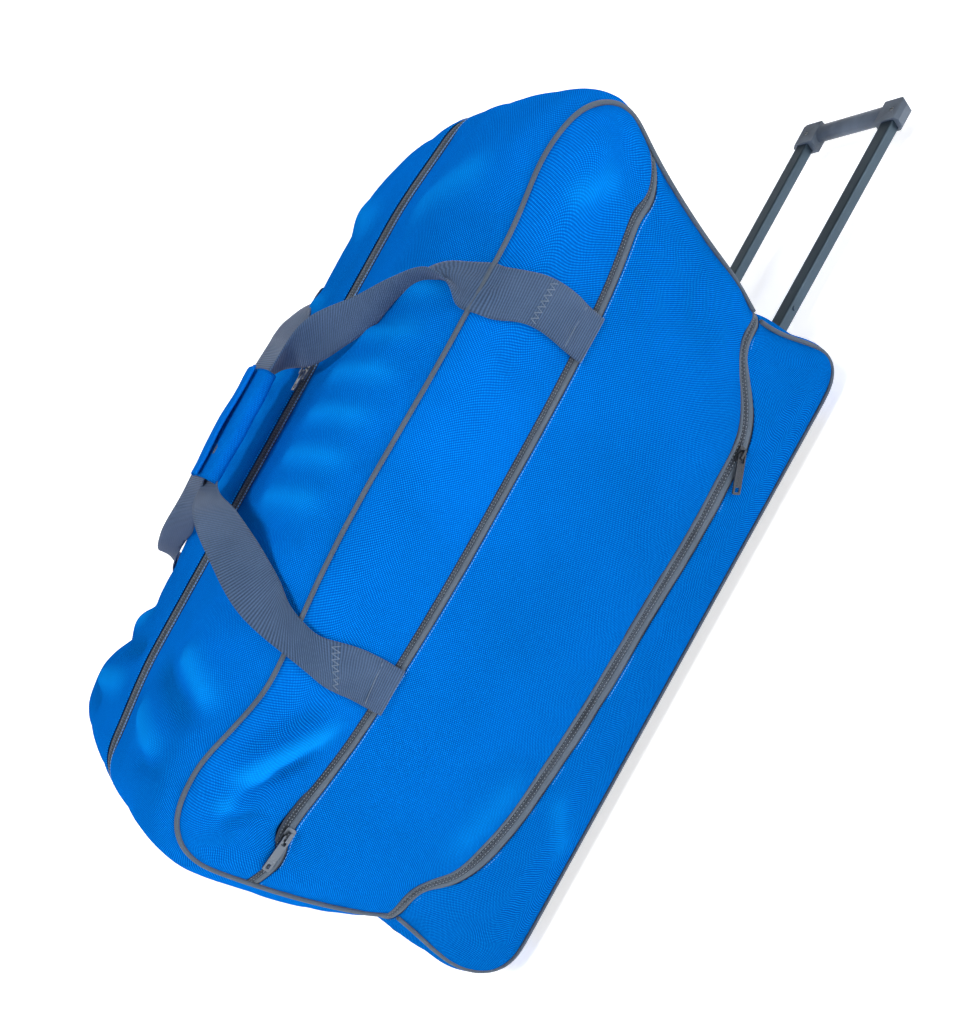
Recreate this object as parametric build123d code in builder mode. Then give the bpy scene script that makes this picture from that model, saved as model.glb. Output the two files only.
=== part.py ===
from build123d import *
import os
from math import cos, radians, sin, sqrt

os.makedirs("parts", exist_ok=True)

# Rolling duffel bag on its base, handle pulled out. Millimetres.
# +X points to the handle end, +Z up, the origin is on the floor under the middle of the whole length.

# Soft body, outside sizes
body_length = 820
body_width = 400
floor_gap = 22
crown_height = 505
crown_edge_height = 451
shoulder_radius = 32
plan_radius = 50
end_top_radius = 60
hem_radius = 28
end_hem_radius = 12
fabric = 3
gap = 0.3

# Seams
piping_inner = 185
piping_outer = 191
piping_proud = 3.2
base_zip_width = 24
slim_zip_width = 13
end_seam_height = 440
base_end_length = 40
# The side zips sag: each is an arc with this lowest point, from the middle of the body
pocket_zip_height = 348
pocket_zip_low_x = 60
pocket_zip_radius = 3040
base_zip_height = 111
base_zip_low_x = 190
base_zip_radius = 3420

# Telescopic handle
tube_spacing = 136
tube_width = 19
tube_depth = 16
tube_wall = 1.2
tube_height = 40
tube_corner = 2.5
slide_play = 0.25
outer_wall = 1.5
grip_reach = 336
handle_overlap = 110
button_reach = 73
block_length = 31
block_width = 34
block_height = 21
bar_length = 100
bar_width = 22
bar_height = 20

# Wheels
wheel_radius = 33
wheel_width = 22
wheel_track = 200
wheel_inset = 38
axle_radius = 3
axle_play = 0.05

# Carry handles
webbing_width = 50
webbing = 2.4
anchor_spacing = 388
anchor_shift = 23
wrap_length = 124
wrap_shift = -15
wrap_height = 549

# Derived
handle_end = body_length / 2 + grip_reach + block_length
body_end = body_length / 2 + 6
body_x = (body_end - handle_end) / 2
wheel_end_x = body_x - body_length / 2
handle_end_x = body_x + body_length / 2
half_width = body_width / 2
far = 1000

bag_side = Plane(origin=(body_x, 0, 0), x_dir=(1, 0, 0), z_dir=(0, -1, 0))
bag_section = Plane(origin=(body_x, 0, 0), x_dir=(0, 1, 0), z_dir=(1, 0, 0))
bag_plan = Plane(origin=(body_x, 0, 0), x_dir=(1, 0, 0), z_dir=(0, 0, 1))


def finish(piece, label):
    """Name a finished piece and write it."""
    piece.part.label = label
    export_step(piece.part, f"parts/{label}.step")


def block(low, high, mode=Mode.ADD):
    """A box between two corners, given in the bag's frame."""
    centre = [(a + b) / 2 for a, b in zip(low, high)]
    size = [b - a for a, b in zip(low, high)]
    with Locations(tuple(centre)):
        Box(*size, mode=mode)


def keep(low, high):
    """Keep only what lies between two corners."""
    block(low, high, Mode.INTERSECT)


# ---------------------------------------------------------------- soft shell

def envelope(inset):
    """The bag's outside, moved in by inset: side view, section and plan view crossed."""
    with BuildPart() as solid:
        with BuildSketch(bag_plan):
            RectangleRounded(body_length, body_width, plan_radius)
            offset(amount=-inset)
        extrude(amount=far)
        with BuildSketch(bag_side):
            with Locations((0, (floor_gap + crown_height) / 2)):
                Rectangle(body_length, crown_height - floor_gap)
            fillet(vertices().group_by(Axis.Y)[-1], end_top_radius)
            fillet(vertices().group_by(Axis.Y)[0], end_hem_radius)
            offset(amount=-inset)
        extrude(amount=far, both=True, mode=Mode.INTERSECT)
        with BuildSketch(bag_section):
            with BuildLine():
                floor_line = Polyline(
                    (-half_width, crown_edge_height),
                    (-half_width, floor_gap),
                    (half_width, floor_gap),
                    (half_width, crown_edge_height),
                )
                ThreePointArc(floor_line @ 1, (0, crown_height), floor_line @ 0)
            make_face()
            fillet(vertices().group_by(Axis.Y)[-1], shoulder_radius)
            fillet(vertices().group_by(Axis.Y)[0], hem_radius)
            offset(amount=-inset)
        extrude(amount=far, both=True, mode=Mode.INTERSECT)
    return solid.part


with BuildPart() as shell:
    add(envelope(0))
    add(envelope(fabric), mode=Mode.SUBTRACT)

with BuildPart() as corded_shell:
    add(envelope(-piping_proud))
    add(envelope(fabric), mode=Mode.SUBTRACT)

# The base zip leaves its arc near the ends of the body and climbs to the end panels
base_zip_line = [
    (-body_length / 2 - 20, 213),
    (-385, 213),
    (-368, 209),
    (-322, 171),
    (-267, 147),
    (-151, 128),
    (30, 115),
    (base_zip_low_x, base_zip_height),
    (269, 118),
    (319, 144),
    (345, 168),
    (380, 172),
    (body_length / 2 + 20, 172),
]


def zip_edge(shift):
    """The base zip's line, moved up by shift."""
    return [(x, z + shift) for x, z in base_zip_line]


def side_region(points):
    """All that lies inside an outline in side view, across the whole width."""
    with BuildPart() as region:
        with BuildSketch(bag_side):
            with BuildLine():
                Polyline(*points, close=True)
            make_face()
        extrude(amount=far, both=True)
    return region.part


last_x = base_zip_line[-1][0]
above_zip = side_region(zip_edge(base_zip_width / 2) + [(last_x, far), (-last_x, far)])
below_zip = side_region(zip_edge(-base_zip_width / 2) + [(last_x, -1), (-last_x, -1)])
along_zip = side_region(zip_edge(base_zip_width / 2) + zip_edge(-base_zip_width / 2)[::-1])


def arc_height(x, low_x, height, radius):
    """Height of a sagging zip's arc at x from the middle of the body."""
    return height + radius - sqrt(radius**2 - (x - low_x) ** 2)


def pocket_height(x):
    """Height of the pocket zip at x from the middle of the body."""
    return arc_height(x, pocket_zip_low_x, pocket_zip_height, pocket_zip_radius)


def pocket_region(low, high):
    """All between two lines along the pocket zip, low and high above its own, across the whole width."""
    with BuildPart() as region:
        with BuildSketch(bag_side):
            with BuildLine():
                low_line = ThreePointArc(*[(x, pocket_height(x) + low) for x in (-last_x, 0, last_x)])
                high_line = ThreePointArc(*[(x, pocket_height(x) + high) for x in (-last_x, 0, last_x)])
                Line(low_line @ 0, high_line @ 0)
                Line(low_line @ 1, high_line @ 1)
            make_face()
        extrude(amount=far, both=True)
    return region.part


below_pocket = pocket_region(-400, -slim_zip_width / 2)
along_pocket = pocket_region(-slim_zip_width / 2, slim_zip_width / 2)
above_pocket = pocket_region(slim_zip_width / 2, 400)

sides = {"right": -1, "left": 1}


def side_slab(side, inner, outer, low, high):
    """Corners of a slab that runs the whole length, on the right or the left side."""
    across = sorted([side * inner, side * outer])
    return (-far, across[0], low), (far, across[1], high)


for name, side in sides.items():
    with BuildPart() as side_lower:
        add(shell.part)
        add(above_zip, mode=Mode.INTERSECT)
        add(below_pocket, mode=Mode.INTERSECT)
        keep(*side_slab(side, piping_outer, far, 0, far))
    finish(side_lower, f"side_lower_{name}")

    with BuildPart() as pocket_zip:
        add(shell.part)
        add(along_pocket, mode=Mode.INTERSECT)
        keep(*side_slab(side, piping_outer, far, 0, far))
    finish(pocket_zip, f"pocket_zip_{name}")

    with BuildPart() as side_upper:
        add(shell.part)
        add(above_pocket, mode=Mode.INTERSECT)
        keep(*side_slab(side, piping_outer, far, 0, far))
    finish(side_upper, f"side_upper_{name}")

    with BuildPart() as top_panel:
        add(shell.part)
        keep(*side_slab(side, slim_zip_width / 2, piping_inner, end_seam_height, far))
    finish(top_panel, f"top_panel_{name}")

    with BuildPart() as piping:
        add(corded_shell.part)
        add(above_zip, mode=Mode.INTERSECT)
        keep(*side_slab(side, piping_inner, piping_outer, 0, far))
    finish(piping, f"piping_{name}")

    with BuildPart() as base_side:
        add(shell.part)
        add(below_zip, mode=Mode.INTERSECT)
        keep(*side_slab(side, piping_outer, far, 0, far))
    finish(base_side, f"base_side_{name}")

    with BuildPart() as base_piping:
        add(corded_shell.part)
        add(below_zip, mode=Mode.INTERSECT)
        keep(*side_slab(side, piping_inner, piping_outer, 0, far))
    finish(base_piping, f"base_piping_{name}")

with BuildPart() as main_zip:
    add(shell.part)
    keep((-far, -slim_zip_width / 2, end_seam_height), (far, slim_zip_width / 2, far))
finish(main_zip, "main_zip")

with BuildPart() as base_zip:
    add(shell.part)
    add(along_zip, mode=Mode.INTERSECT)
finish(base_zip, "base_zip")

for name, end in {"wheel": -1, "handle": 1}.items():
    ends = sorted([body_x, body_x + end * far])
    with BuildPart() as end_panel:
        add(shell.part)
        add(above_zip, mode=Mode.INTERSECT)
        keep((ends[0], -piping_inner, 0), (ends[1], piping_inner, end_seam_height))
    finish(end_panel, f"end_panel_{name}")

# ------------------------------------------------------- wheels and housings

wheel_x = wheel_end_x + wheel_inset
arch_radius = wheel_radius + 3
arch_wall = 2.5
arch_width = wheel_width + 13
flange_thickness = 3
flange_margin = 9
guard_height = 145
guard_width = 32
guard_thickness = 5
axle_head_radius = 5
axle_head = 1.8
boss_radius = 7
rim_radius = wheel_radius - 7
rim_wall = 5
web_thickness = 4
web_hole_radius = 3
tread_rounding = 5

wheel_plane = Plane(origin=(wheel_x, 0, wheel_radius), x_dir=(1, 0, 0), z_dir=(0, -1, 0))


def arch_outline(radius, low):
    """Wheel arch in side view: a half round with straight sides down to a height."""
    drop = wheel_radius - low
    Circle(radius)
    with Locations((0, -drop / 2)):
        Rectangle(2 * radius, drop)
    with Locations((0, -drop - radius)):
        Rectangle(4 * radius, 2 * radius, mode=Mode.SUBTRACT)


def arch_block(centre_y, radius, width, low):
    """The solid of a wheel arch round one wheel."""
    with BuildPart() as solid:
        with BuildSketch(wheel_plane.offset(-centre_y)):
            arch_outline(radius, low)
        extrude(amount=width / 2, both=True)
    return solid.part


housing_cutters = []
board_cutters = []
for name, side in sides.items():
    y = side * wheel_track / 2
    outer_arch = arch_block(y, arch_radius + arch_wall, arch_width + 2 * arch_wall, floor_gap)
    inner_arch = arch_block(y, arch_radius, arch_width, floor_gap - 20)
    cut_width = arch_width + 2 * arch_wall + 2 * gap
    housing_cutters.append(arch_block(y, arch_radius + arch_wall + gap, cut_width, 0))
    board_cutters.append(arch_block(y, arch_radius + arch_wall + 1, cut_width + 3 * axle_head, 0))
    half_flange = arch_width / 2 + flange_margin
    arch_end = wheel_x - arch_radius - arch_wall

    with BuildPart() as wheel_housing:
        add(outer_arch)
        flange_x = wheel_x + flange_margin / 2 + 4
        flange_low = floor_gap - gap - flange_thickness
        with BuildSketch(Plane(origin=(flange_x, y, flange_low), z_dir=(0, 0, 1))):
            RectangleRounded(2 * arch_radius + flange_margin, 2 * half_flange, 8)
        extrude(amount=flange_thickness + gap)
        # The guard climbs the end of the bag above the wheel
        guard_x = wheel_end_x - gap - guard_thickness
        guard_plane = Plane(origin=(guard_x, y, 0), x_dir=(0, 1, 0), z_dir=(1, 0, 0))
        with BuildSketch(guard_plane):
            with Locations((0, (wheel_radius + guard_height) / 2)):
                RectangleRounded(guard_width, guard_height - wheel_radius, 10)
        extrude(amount=guard_thickness)
        block(
            (guard_x + 1, y - guard_width / 2 + 6, wheel_radius + 6),
            (arch_end + 8, y + guard_width / 2 - 6, wheel_radius + 24),
        )
        add(inner_arch, mode=Mode.SUBTRACT)
        with Locations(Location((wheel_x, y, wheel_radius), (90, 0, 0))):
            Hole(axle_radius)
    finish(wheel_housing, f"wheel_housing_{name}")

    with BuildPart(wheel_plane.offset(-y)) as wheel_hub:
        Cylinder(rim_radius, wheel_width - 3)
        Cylinder(rim_radius - rim_wall, wheel_width, mode=Mode.SUBTRACT)
        Cylinder(rim_radius - rim_wall + 1, web_thickness)
        Cylinder(boss_radius, wheel_width + 8)
        with PolarLocations((boss_radius + rim_radius - rim_wall) / 2, 6):
            Cylinder(web_hole_radius, wheel_width, mode=Mode.SUBTRACT)
        Cylinder(axle_radius + axle_play, 2 * wheel_width, mode=Mode.SUBTRACT)
    finish(wheel_hub, f"wheel_hub_{name}")

    with BuildPart(wheel_plane.offset(-y)) as wheel_tyre:
        Cylinder(wheel_radius, wheel_width)
        fillet(edges().filter_by(GeomType.CIRCLE), tread_rounding)
        Cylinder(rim_radius, 2 * wheel_width, mode=Mode.SUBTRACT)
    finish(wheel_tyre, f"wheel_tyre_{name}")

    with BuildPart(wheel_plane.offset(-y)) as wheel_axle:
        axle_length = arch_width + 2 * arch_wall
        Cylinder(axle_radius, axle_length)
        for end in (-1, 1):
            with Locations((0, 0, end * (axle_length + axle_head) / 2)):
                Cylinder(axle_head_radius, axle_head)
    finish(wheel_axle, f"wheel_axle_{name}")

# ------------------------------------------------------- base tub and board

board_thickness = 4.2
board_low = floor_gap + fabric + gap
board_high = board_low + board_thickness
board_length = body_length - 2 * base_end_length
board_width = 330
bezel_hole_width = 192
bezel_hole_height = 26
bracket_seat = board_high + gap / 3
bracket_height = 24
rivet_head = 1.4
rivet_radius = 2
rivet_play = 0.1
bracket_x = wheel_end_x + 96
bracket_length = 28
bracket_rivets = [(bracket_x, y) for y in (-40, -15, 15, 40)]
bezel_rivets = [(y, tube_height + z) for y in (-100, 100) for z in (-4.5, 4.5)]

floor_limit = body_length / 2 - base_end_length

with BuildPart() as base_floor:
    add(shell.part)
    keep((body_x - floor_limit, -piping_inner, 0), (body_x + floor_limit, piping_inner, 100))
    for cutter in housing_cutters:
        add(cutter, mode=Mode.SUBTRACT)
    with Locations([(x, y, floor_gap) for x, y in bracket_rivets]):
        Cylinder(rivet_radius + rivet_play, 4 * fabric, mode=Mode.SUBTRACT)
finish(base_floor, "base_floor")

with BuildPart() as base_end_wheel:
    add(shell.part)
    add(below_zip, mode=Mode.INTERSECT)
    keep((-far, -piping_inner, 0), (body_x - floor_limit, piping_inner, far))
    for cutter in housing_cutters:
        add(cutter, mode=Mode.SUBTRACT)
    for side in sides.values():
        y = side * wheel_track / 2
        block(
            (wheel_end_x - 5, y - guard_width / 2 + 5, wheel_radius + 5),
            (wheel_end_x + 10, y + guard_width / 2 - 5, wheel_radius + 25),
            Mode.SUBTRACT,
        )
finish(base_end_wheel, "base_end_wheel")

with BuildPart() as base_end_handle:
    add(shell.part)
    add(below_zip, mode=Mode.INTERSECT)
    keep((body_x + floor_limit, -piping_inner, 0), (far, piping_inner, far))
    block(
        (handle_end_x - 30, -bezel_hole_width / 2, tube_height - bezel_hole_height / 2),
        (handle_end_x + 9, bezel_hole_width / 2, tube_height + bezel_hole_height / 2),
        Mode.SUBTRACT,
    )
    with Locations([Location((handle_end_x, y, z), (0, 90, 0)) for y, z in bezel_rivets]):
        Cylinder(rivet_radius + rivet_play, 6 * fabric, mode=Mode.SUBTRACT)
finish(base_end_handle, "base_end_handle")

with BuildPart() as base_board:
    with BuildSketch(bag_plan.offset(board_low)):
        RectangleRounded(board_length, board_width, 30)
    extrude(amount=board_thickness)
    for cutter in board_cutters:
        add(cutter, mode=Mode.SUBTRACT)
    with Locations([(x, y, board_low) for x, y in bracket_rivets]):
        Cylinder(rivet_radius + rivet_play, 4 * board_thickness, mode=Mode.SUBTRACT)
finish(base_board, "base_board")

with BuildPart() as front_stand:
    stand_x = handle_end_x - 70
    stand_height = floor_gap - gap
    with BuildSketch(Plane(origin=(stand_x, 0, 0), z_dir=(0, 0, 1))):
        RectangleRounded(44, 260, 14)
        RectangleRounded(24, 150, 8, mode=Mode.SUBTRACT)
    extrude(amount=stand_height)
    fillet(edges().group_by(Axis.Z)[0], 3)
    block((stand_x - 16, -80, stand_height - 5), (stand_x + 16, 80, stand_height))
finish(front_stand, "front_stand")

# ---------------------------------------------------------- telescopic frame

tube_outer_x = handle_end_x + grip_reach + 22
tube_inner_x = handle_end_x - handle_overlap
outer_tube_end = handle_end_x - 10.5
outer_tube_start = bracket_x - 4
bore_width = tube_width + 2 * slide_play
bore_depth = tube_depth + 2 * slide_play
button_radius = 3
button_hole = button_radius + 0.1
button_proud = 1.2
button_x = handle_end_x + button_reach
screw_x = handle_end_x + grip_reach + block_length / 2
screw_radius = 1.5
slot_half = button_radius + 0.6


def tube_plane(x, y):
    """Plane across a handle tube, with its local x along +Y and its normal along +X."""
    return Plane(origin=(x, y, tube_height), x_dir=(0, 1, 0), z_dir=(1, 0, 0))


def tube_section(width, depth, radius, mode=Mode.ADD):
    """Rounded rectangle of a handle tube."""
    RectangleRounded(width, depth, radius, mode=mode)


for name, side in sides.items():
    y = side * tube_spacing / 2

    with BuildPart() as inner_tube:
        with BuildSketch(tube_plane(tube_inner_x, y)):
            tube_section(tube_width, tube_depth, tube_corner)
            tube_section(tube_width - 2 * tube_wall, tube_depth - 2 * tube_wall, 1.3, Mode.SUBTRACT)
        extrude(amount=tube_outer_x - tube_inner_x)
        # Hole for the lock button in the outer side, and for the screw in the top
        with Locations(Location((button_x, y + side * tube_width / 2, tube_height), (90, 0, 0))):
            Cylinder(button_hole, 6, mode=Mode.SUBTRACT)
        with Locations((screw_x, y, tube_height + tube_depth / 2)):
            Cylinder(screw_radius + 0.1, 6, mode=Mode.SUBTRACT)
    finish(inner_tube, f"inner_tube_{name}")

    with BuildPart() as tube_glide:
        with BuildSketch(tube_plane(tube_inner_x - 6, y)):
            tube_section(bore_width - 0.2, bore_depth - 0.2, tube_corner)
        extrude(amount=6)
        with BuildSketch(tube_plane(tube_inner_x, y)):
            tube_section(tube_width - 2 * tube_wall - 0.1, tube_depth - 2 * tube_wall - 0.1, 1.2)
        extrude(amount=30)
    finish(tube_glide, f"tube_glide_{name}")

    with BuildPart() as outer_tube:
        with BuildSketch(tube_plane(outer_tube_start, y)):
            tube_section(bore_width + 2 * outer_wall, bore_depth + 2 * outer_wall, 3.5)
            tube_section(bore_width, bore_depth, 2, Mode.SUBTRACT)
        extrude(amount=outer_tube_end - outer_tube_start)
        # The button rides in a slot along the outer side
        slot_ends = (handle_end_x - 300, outer_tube_end)
        slot_across = sorted([y + side * tube_width / 2, y + side * tube_width])
        block(
            (slot_ends[0], slot_across[0], tube_height - slot_half),
            (slot_ends[1], slot_across[1], tube_height + slot_half),
            Mode.SUBTRACT,
        )
    finish(outer_tube, f"outer_tube_{name}")

    with BuildPart() as lock_button:
        face_y = y + side * tube_width / 2
        out = Plane(origin=(button_x, face_y, tube_height), x_dir=(1, 0, 0), z_dir=(0, side, 0))
        inside = tube_wall + 0.3
        with BuildSketch(out.offset(-inside - 2.2)):
            Circle(button_radius)
        extrude(amount=inside + 2.2 + button_proud)
        fillet(edges().sort_by(Axis.Y)[0 if side < 0 else -1], 0.8)
        with BuildSketch(out.offset(-inside - 2.2)):
            Circle(button_radius + 1.3)
        extrude(amount=2.2)
    finish(lock_button, f"lock_button_{name}")

    with BuildPart() as grip_block:
        block_y = side * (bar_length / 2 + block_width / 2)
        block_low = handle_end_x + grip_reach
        with Locations((block_low + block_length / 2, block_y, tube_height)):
            Box(block_length, block_width, block_height)
        outer_face = faces().sort_by(Axis.Y)[0 if side < 0 else -1]
        chamfer(outer_face.edges().filter_by(Axis.X), 5)
        end_edges = edges().filter_by(Axis.Z).sort_by(Axis.X)[-2:]
        chamfer(end_edges.sort_by(Axis.Y)[0 if side < 0 else -1], 8)
        with BuildSketch(tube_plane(block_low - 1, y)):
            tube_section(tube_width + 0.1, tube_depth + 0.1, tube_corner)
        extrude(amount=tube_outer_x - block_low + 1.2, mode=Mode.SUBTRACT)
        with Locations((screw_x, y, tube_height + block_height / 2)):
            CounterBoreHole(screw_radius + 0.1, 2.7, 1.6, depth=12)
    finish(grip_block, f"grip_block_{name}")

with BuildPart() as grip_bar:
    bar_x = handle_end_x + grip_reach + block_length - bar_width / 2
    bar_end = Plane(origin=(bar_x, -bar_length / 2, tube_height), x_dir=(1, 0, 0), z_dir=(0, 1, 0))
    with BuildSketch(bar_end):
        Ellipse(bar_width / 2, bar_height / 2)
    extrude(amount=bar_length)
finish(grip_bar, "grip_bar")

with BuildPart() as grip_screws:
    head_top = tube_height + block_height / 2
    for side in sides.values():
        with Locations((screw_x, side * tube_spacing / 2, head_top - 0.9)):
            Cylinder(2.5, 1.2)
        with Locations((screw_x, side * tube_spacing / 2, head_top - 4.5)):
            Cylinder(screw_radius, 6.5)
finish(grip_screws, "grip_screws")

with BuildPart() as button_springs:
    for side in sides.values():
        inner_face = side * (tube_spacing / 2 + tube_width / 2 - tube_wall - 0.3 - 2.2)
        far_wall = side * (tube_spacing / 2 - tube_width / 2 + tube_wall)
        leaf = side * 0.6
        with BuildSketch(Plane.XY.offset(tube_height - 3.5)):
            with BuildLine():
                Polyline(
                    (button_x - 28, far_wall),
                    (button_x + 6, far_wall),
                    (button_x + 6, far_wall + leaf),
                    (button_x - 24, far_wall + leaf),
                    (button_x - 2, inner_face - leaf),
                    (button_x + 4, inner_face - leaf),
                    (button_x + 4, inner_face),
                    (button_x - 2.4, inner_face),
                    close=True,
                )
            make_face()
        extrude(amount=7)
finish(button_springs, "button_springs")

with BuildPart() as handle_bezel:
    flange_width = 212
    flange_height = 31
    with BuildSketch(tube_plane(handle_end_x + gap, 0)):
        RectangleRounded(flange_width, flange_height, 8)
    extrude(amount=4)
    fillet(edges().sort_by(Axis.X)[-8:], 1.2)
    with BuildSketch(tube_plane(outer_tube_end + gap, 0)):
        RectangleRounded(bezel_hole_width - 2 * gap, bezel_hole_height - 2 * gap, 4)
    extrude(amount=handle_end_x - outer_tube_end)
    for side in sides.values():
        y = side * tube_spacing / 2
        with BuildSketch(tube_plane(outer_tube_end - 1, y)):
            tube_section(bore_width + 0.1, bore_depth + 0.1, 2)
            with Locations((side * tube_width / 2, 0)):
                Rectangle(4, 2 * slot_half)
        extrude(amount=30, mode=Mode.SUBTRACT)
    with Locations([Location((handle_end_x, y, z), (0, 90, 0)) for y, z in bezel_rivets]):
        Cylinder(rivet_radius + rivet_play, 30, mode=Mode.SUBTRACT)
finish(handle_bezel, "handle_bezel")

with BuildPart() as end_bracket:
    with BuildSketch(Plane(origin=(bracket_x, 0, bracket_seat), z_dir=(0, 0, 1))):
        RectangleRounded(bracket_length, tube_spacing + 44, 6)
    extrude(amount=bracket_height)
    for side in sides.values():
        with BuildSketch(tube_plane(outer_tube_start - 0.1, side * tube_spacing / 2)):
            tube_section(bore_width + 2 * outer_wall + 0.2, bore_depth + 2 * outer_wall + 0.2, 3.5)
        extrude(amount=40, mode=Mode.SUBTRACT)
    with Locations([(x, y, board_high) for x, y in bracket_rivets]):
        Cylinder(rivet_radius + rivet_play, 80, mode=Mode.SUBTRACT)
finish(end_bracket, "end_bracket")

with BuildPart() as frame_rivets:
    rivet_low = floor_gap - gap
    rivet_high = bracket_seat + bracket_height + rivet_play
    for x, y in bracket_rivets:
        with Locations((x, y, (rivet_low + rivet_high) / 2)):
            Cylinder(rivet_radius, rivet_high - rivet_low)
        with Locations((x, y, rivet_low - rivet_head / 2), (x, y, rivet_high + rivet_head / 2)):
            Cylinder(2 * rivet_radius, rivet_head)
    for y, z in bezel_rivets:
        with Locations(Location((handle_end_x + 0.7, y, z), (0, 90, 0))):
            Cylinder(rivet_radius, 8)
        with Locations(Location((handle_end_x + 5.3, y, z), (0, 90, 0))):
            Cylinder(1.6 * rivet_radius, 1.2)
        with Locations(Location((handle_end_x - 3.9, y, z), (0, 90, 0))):
            Cylinder(1.6 * rivet_radius, 1.2)
finish(frame_rivets, "frame_rivets")

# ---------------------------------------------------------------- zip sliders

slider_length = 17
slider_width = 11
hinge_height = 4.4
bridge_width = 3


def slider_body(surface):
    """A zip slider on a plane whose normal leaves the bag and whose x runs along the zip."""
    with BuildPart(surface) as piece:
        with Locations((0, 0, 1.3)):
            Box(slider_length, slider_width, 2)
        fillet(piece.edges().filter_by(Axis(surface.origin, surface.z_dir)), 2.5)
        with Locations((-4.2, 0, 4), (4.2, 0, 4)):
            Box(1.8, bridge_width, 4)
        with Locations((0, 0, 6.6)):
            Box(10.2, bridge_width, 1.6)
    return piece


def slider_pull(surface, length, width, arm_gap):
    """A pull whose cross bar lies under the slider's bridge. It lies along the plane's x."""
    with BuildPart(surface) as piece:
        thickness = 1.6
        slot = 8.5
        with Locations((length / 2 - 1, 0, hinge_height)):
            Box(length, width, thickness)
        fillet(piece.edges().filter_by(Axis(surface.origin, surface.z_dir)), width / 5)
        with Locations((0.9 + slot / 2, 0, hinge_height)):
            Box(slot, arm_gap, 2 * thickness, mode=Mode.SUBTRACT)
        with Locations((length - 6, 0, hinge_height)):
            Box(5, width - 5, 2 * thickness, mode=Mode.SUBTRACT)
    return piece


main_top = crown_height + gap
side_face = half_width + gap
pull_width = 8.5
pocket_slider_x = -334
base_slider_x = 238
pocket_slider_z = pocket_height(pocket_slider_x)
base_slider_z = arc_height(base_slider_x, base_zip_low_x, base_zip_height, base_zip_radius)
# Sine of the pocket zip's slope at its slider
pocket_slope = (pocket_zip_low_x - pocket_slider_x) / pocket_zip_radius
up_pocket_zip = (-sqrt(1 - pocket_slope**2), 0, pocket_slope)
sliders = {
    "main_slider_a": ((body_x + 74, 0, main_top), (-1, 0, 0), (0, 0, 1)),
    "main_slider_b": ((body_x + 104, 0, main_top), (1, 0, 0), (0, 0, 1)),
    "pocket_slider_right": ((body_x + pocket_slider_x, -side_face, pocket_slider_z), up_pocket_zip, (0, -1, 0)),
    "pocket_slider_left": ((body_x + pocket_slider_x, side_face, pocket_slider_z), up_pocket_zip, (0, 1, 0)),
    "base_slider": ((body_x + base_slider_x, -side_face, base_slider_z), (-1, 0, 0), (0, -1, 0)),
}
pull_lengths = {
    "main_slider_a": 24,
    "main_slider_b": 24,
    "pocket_slider_right": 38,
    "pocket_slider_left": 38,
    "base_slider": 44,
}
base_pull_tilt = 28

for name, (place, along, outward) in sliders.items():
    finish(slider_body(Plane(origin=place, x_dir=along, z_dir=outward)), name)
    # The base pull hangs askew, so its ring is wider
    askew = name == "base_slider"
    tilt = radians(base_pull_tilt)
    pull_along = (-cos(tilt), 0, -sin(tilt)) if askew else along
    ring = (11.5, 7.7) if askew else (pull_width, 4.4)
    pull = slider_pull(Plane(origin=place, x_dir=pull_along, z_dir=outward), pull_lengths[name], *ring)
    finish(pull, name.replace("slider", "pull"))

# -------------------------------------------------------------- carry handles

strap_stand = half_width + gap + webbing / 2
strap_gap = 6
strap_margin = 2.5


def strap_section(centre, across, thick):
    """The webbing's rectangle at a point of a leg: across its width and through its thickness."""
    normal = Vector(*across).cross(Vector(*thick))
    with BuildSketch(Plane(origin=centre, x_dir=across, z_dir=normal)) as section:
        Rectangle(webbing_width, webbing)
    return section.sketch


grip_half = wrap_length / 2 + 8


def strap_half(side, end, bar_z):
    """Sections of one half: up the side, over the shoulder and in to the grip, turned flat there."""
    anchor = anchor_shift + end * anchor_spacing / 2
    anchor_x = body_x + anchor
    strap_low = pocket_height(anchor) + slim_zip_width / 2 + strap_margin
    grip_x = body_x + wrap_shift + end * grip_half
    shoulder_point = Vector(anchor_x - end * 10, side * (half_width - 2), crown_edge_height + 30)
    grip_point = Vector(grip_x, 0, bar_z)
    turns = [
        (shoulder_point * 0.67 + grip_point * 0.33, (2 * end, -side, 0), (0, 0.6, side)),
        (shoulder_point * 0.33 + grip_point * 0.67, (end, -2 * side, 0), (0, 0.3, side)),
    ]
    return [
        strap_section((anchor_x, side * strap_stand, strap_low), (end, 0, 0), (0, 1, 0)),
        strap_section((anchor_x, side * strap_stand, crown_edge_height - 12), (end, 0, 0), (0, 1, 0)),
        strap_section(shoulder_point, (end, 0, 0), (0, 0.8, side * 0.6)),
        *[strap_section(*turn) for turn in turns],
        strap_section(grip_point, (0, -side, 0), (0, 0, side)),
    ]


for name, side in sides.items():
    bar_z = wrap_height - side * strap_gap / 2
    sections = strap_half(side, 1, bar_z) + strap_half(side, -1, bar_z)[::-1]
    with BuildPart() as carry_strap:
        loft(sections, ruled=True)
    finish(carry_strap, f"carry_strap_{name}")

with BuildPart() as grip_wrap:
    wrap_plane = Plane(
        origin=(body_x + wrap_shift - wrap_length / 2, 0, wrap_height), x_dir=(0, 1, 0), z_dir=(1, 0, 0)
    )
    with BuildSketch(wrap_plane):
        RectangleRounded(webbing_width + 10, 22, 10)
        Rectangle(webbing_width + 1.4, strap_gap + webbing + 1.2, mode=Mode.SUBTRACT)
    extrude(amount=wrap_length)
finish(grip_wrap, "grip_wrap")
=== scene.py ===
from math import cos, pi, radians, sin, sqrt

import bmesh
import bpy
import numpy as np
from mathutils import Matrix, Vector
from mathutils.bvhtree import BVHTree


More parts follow.
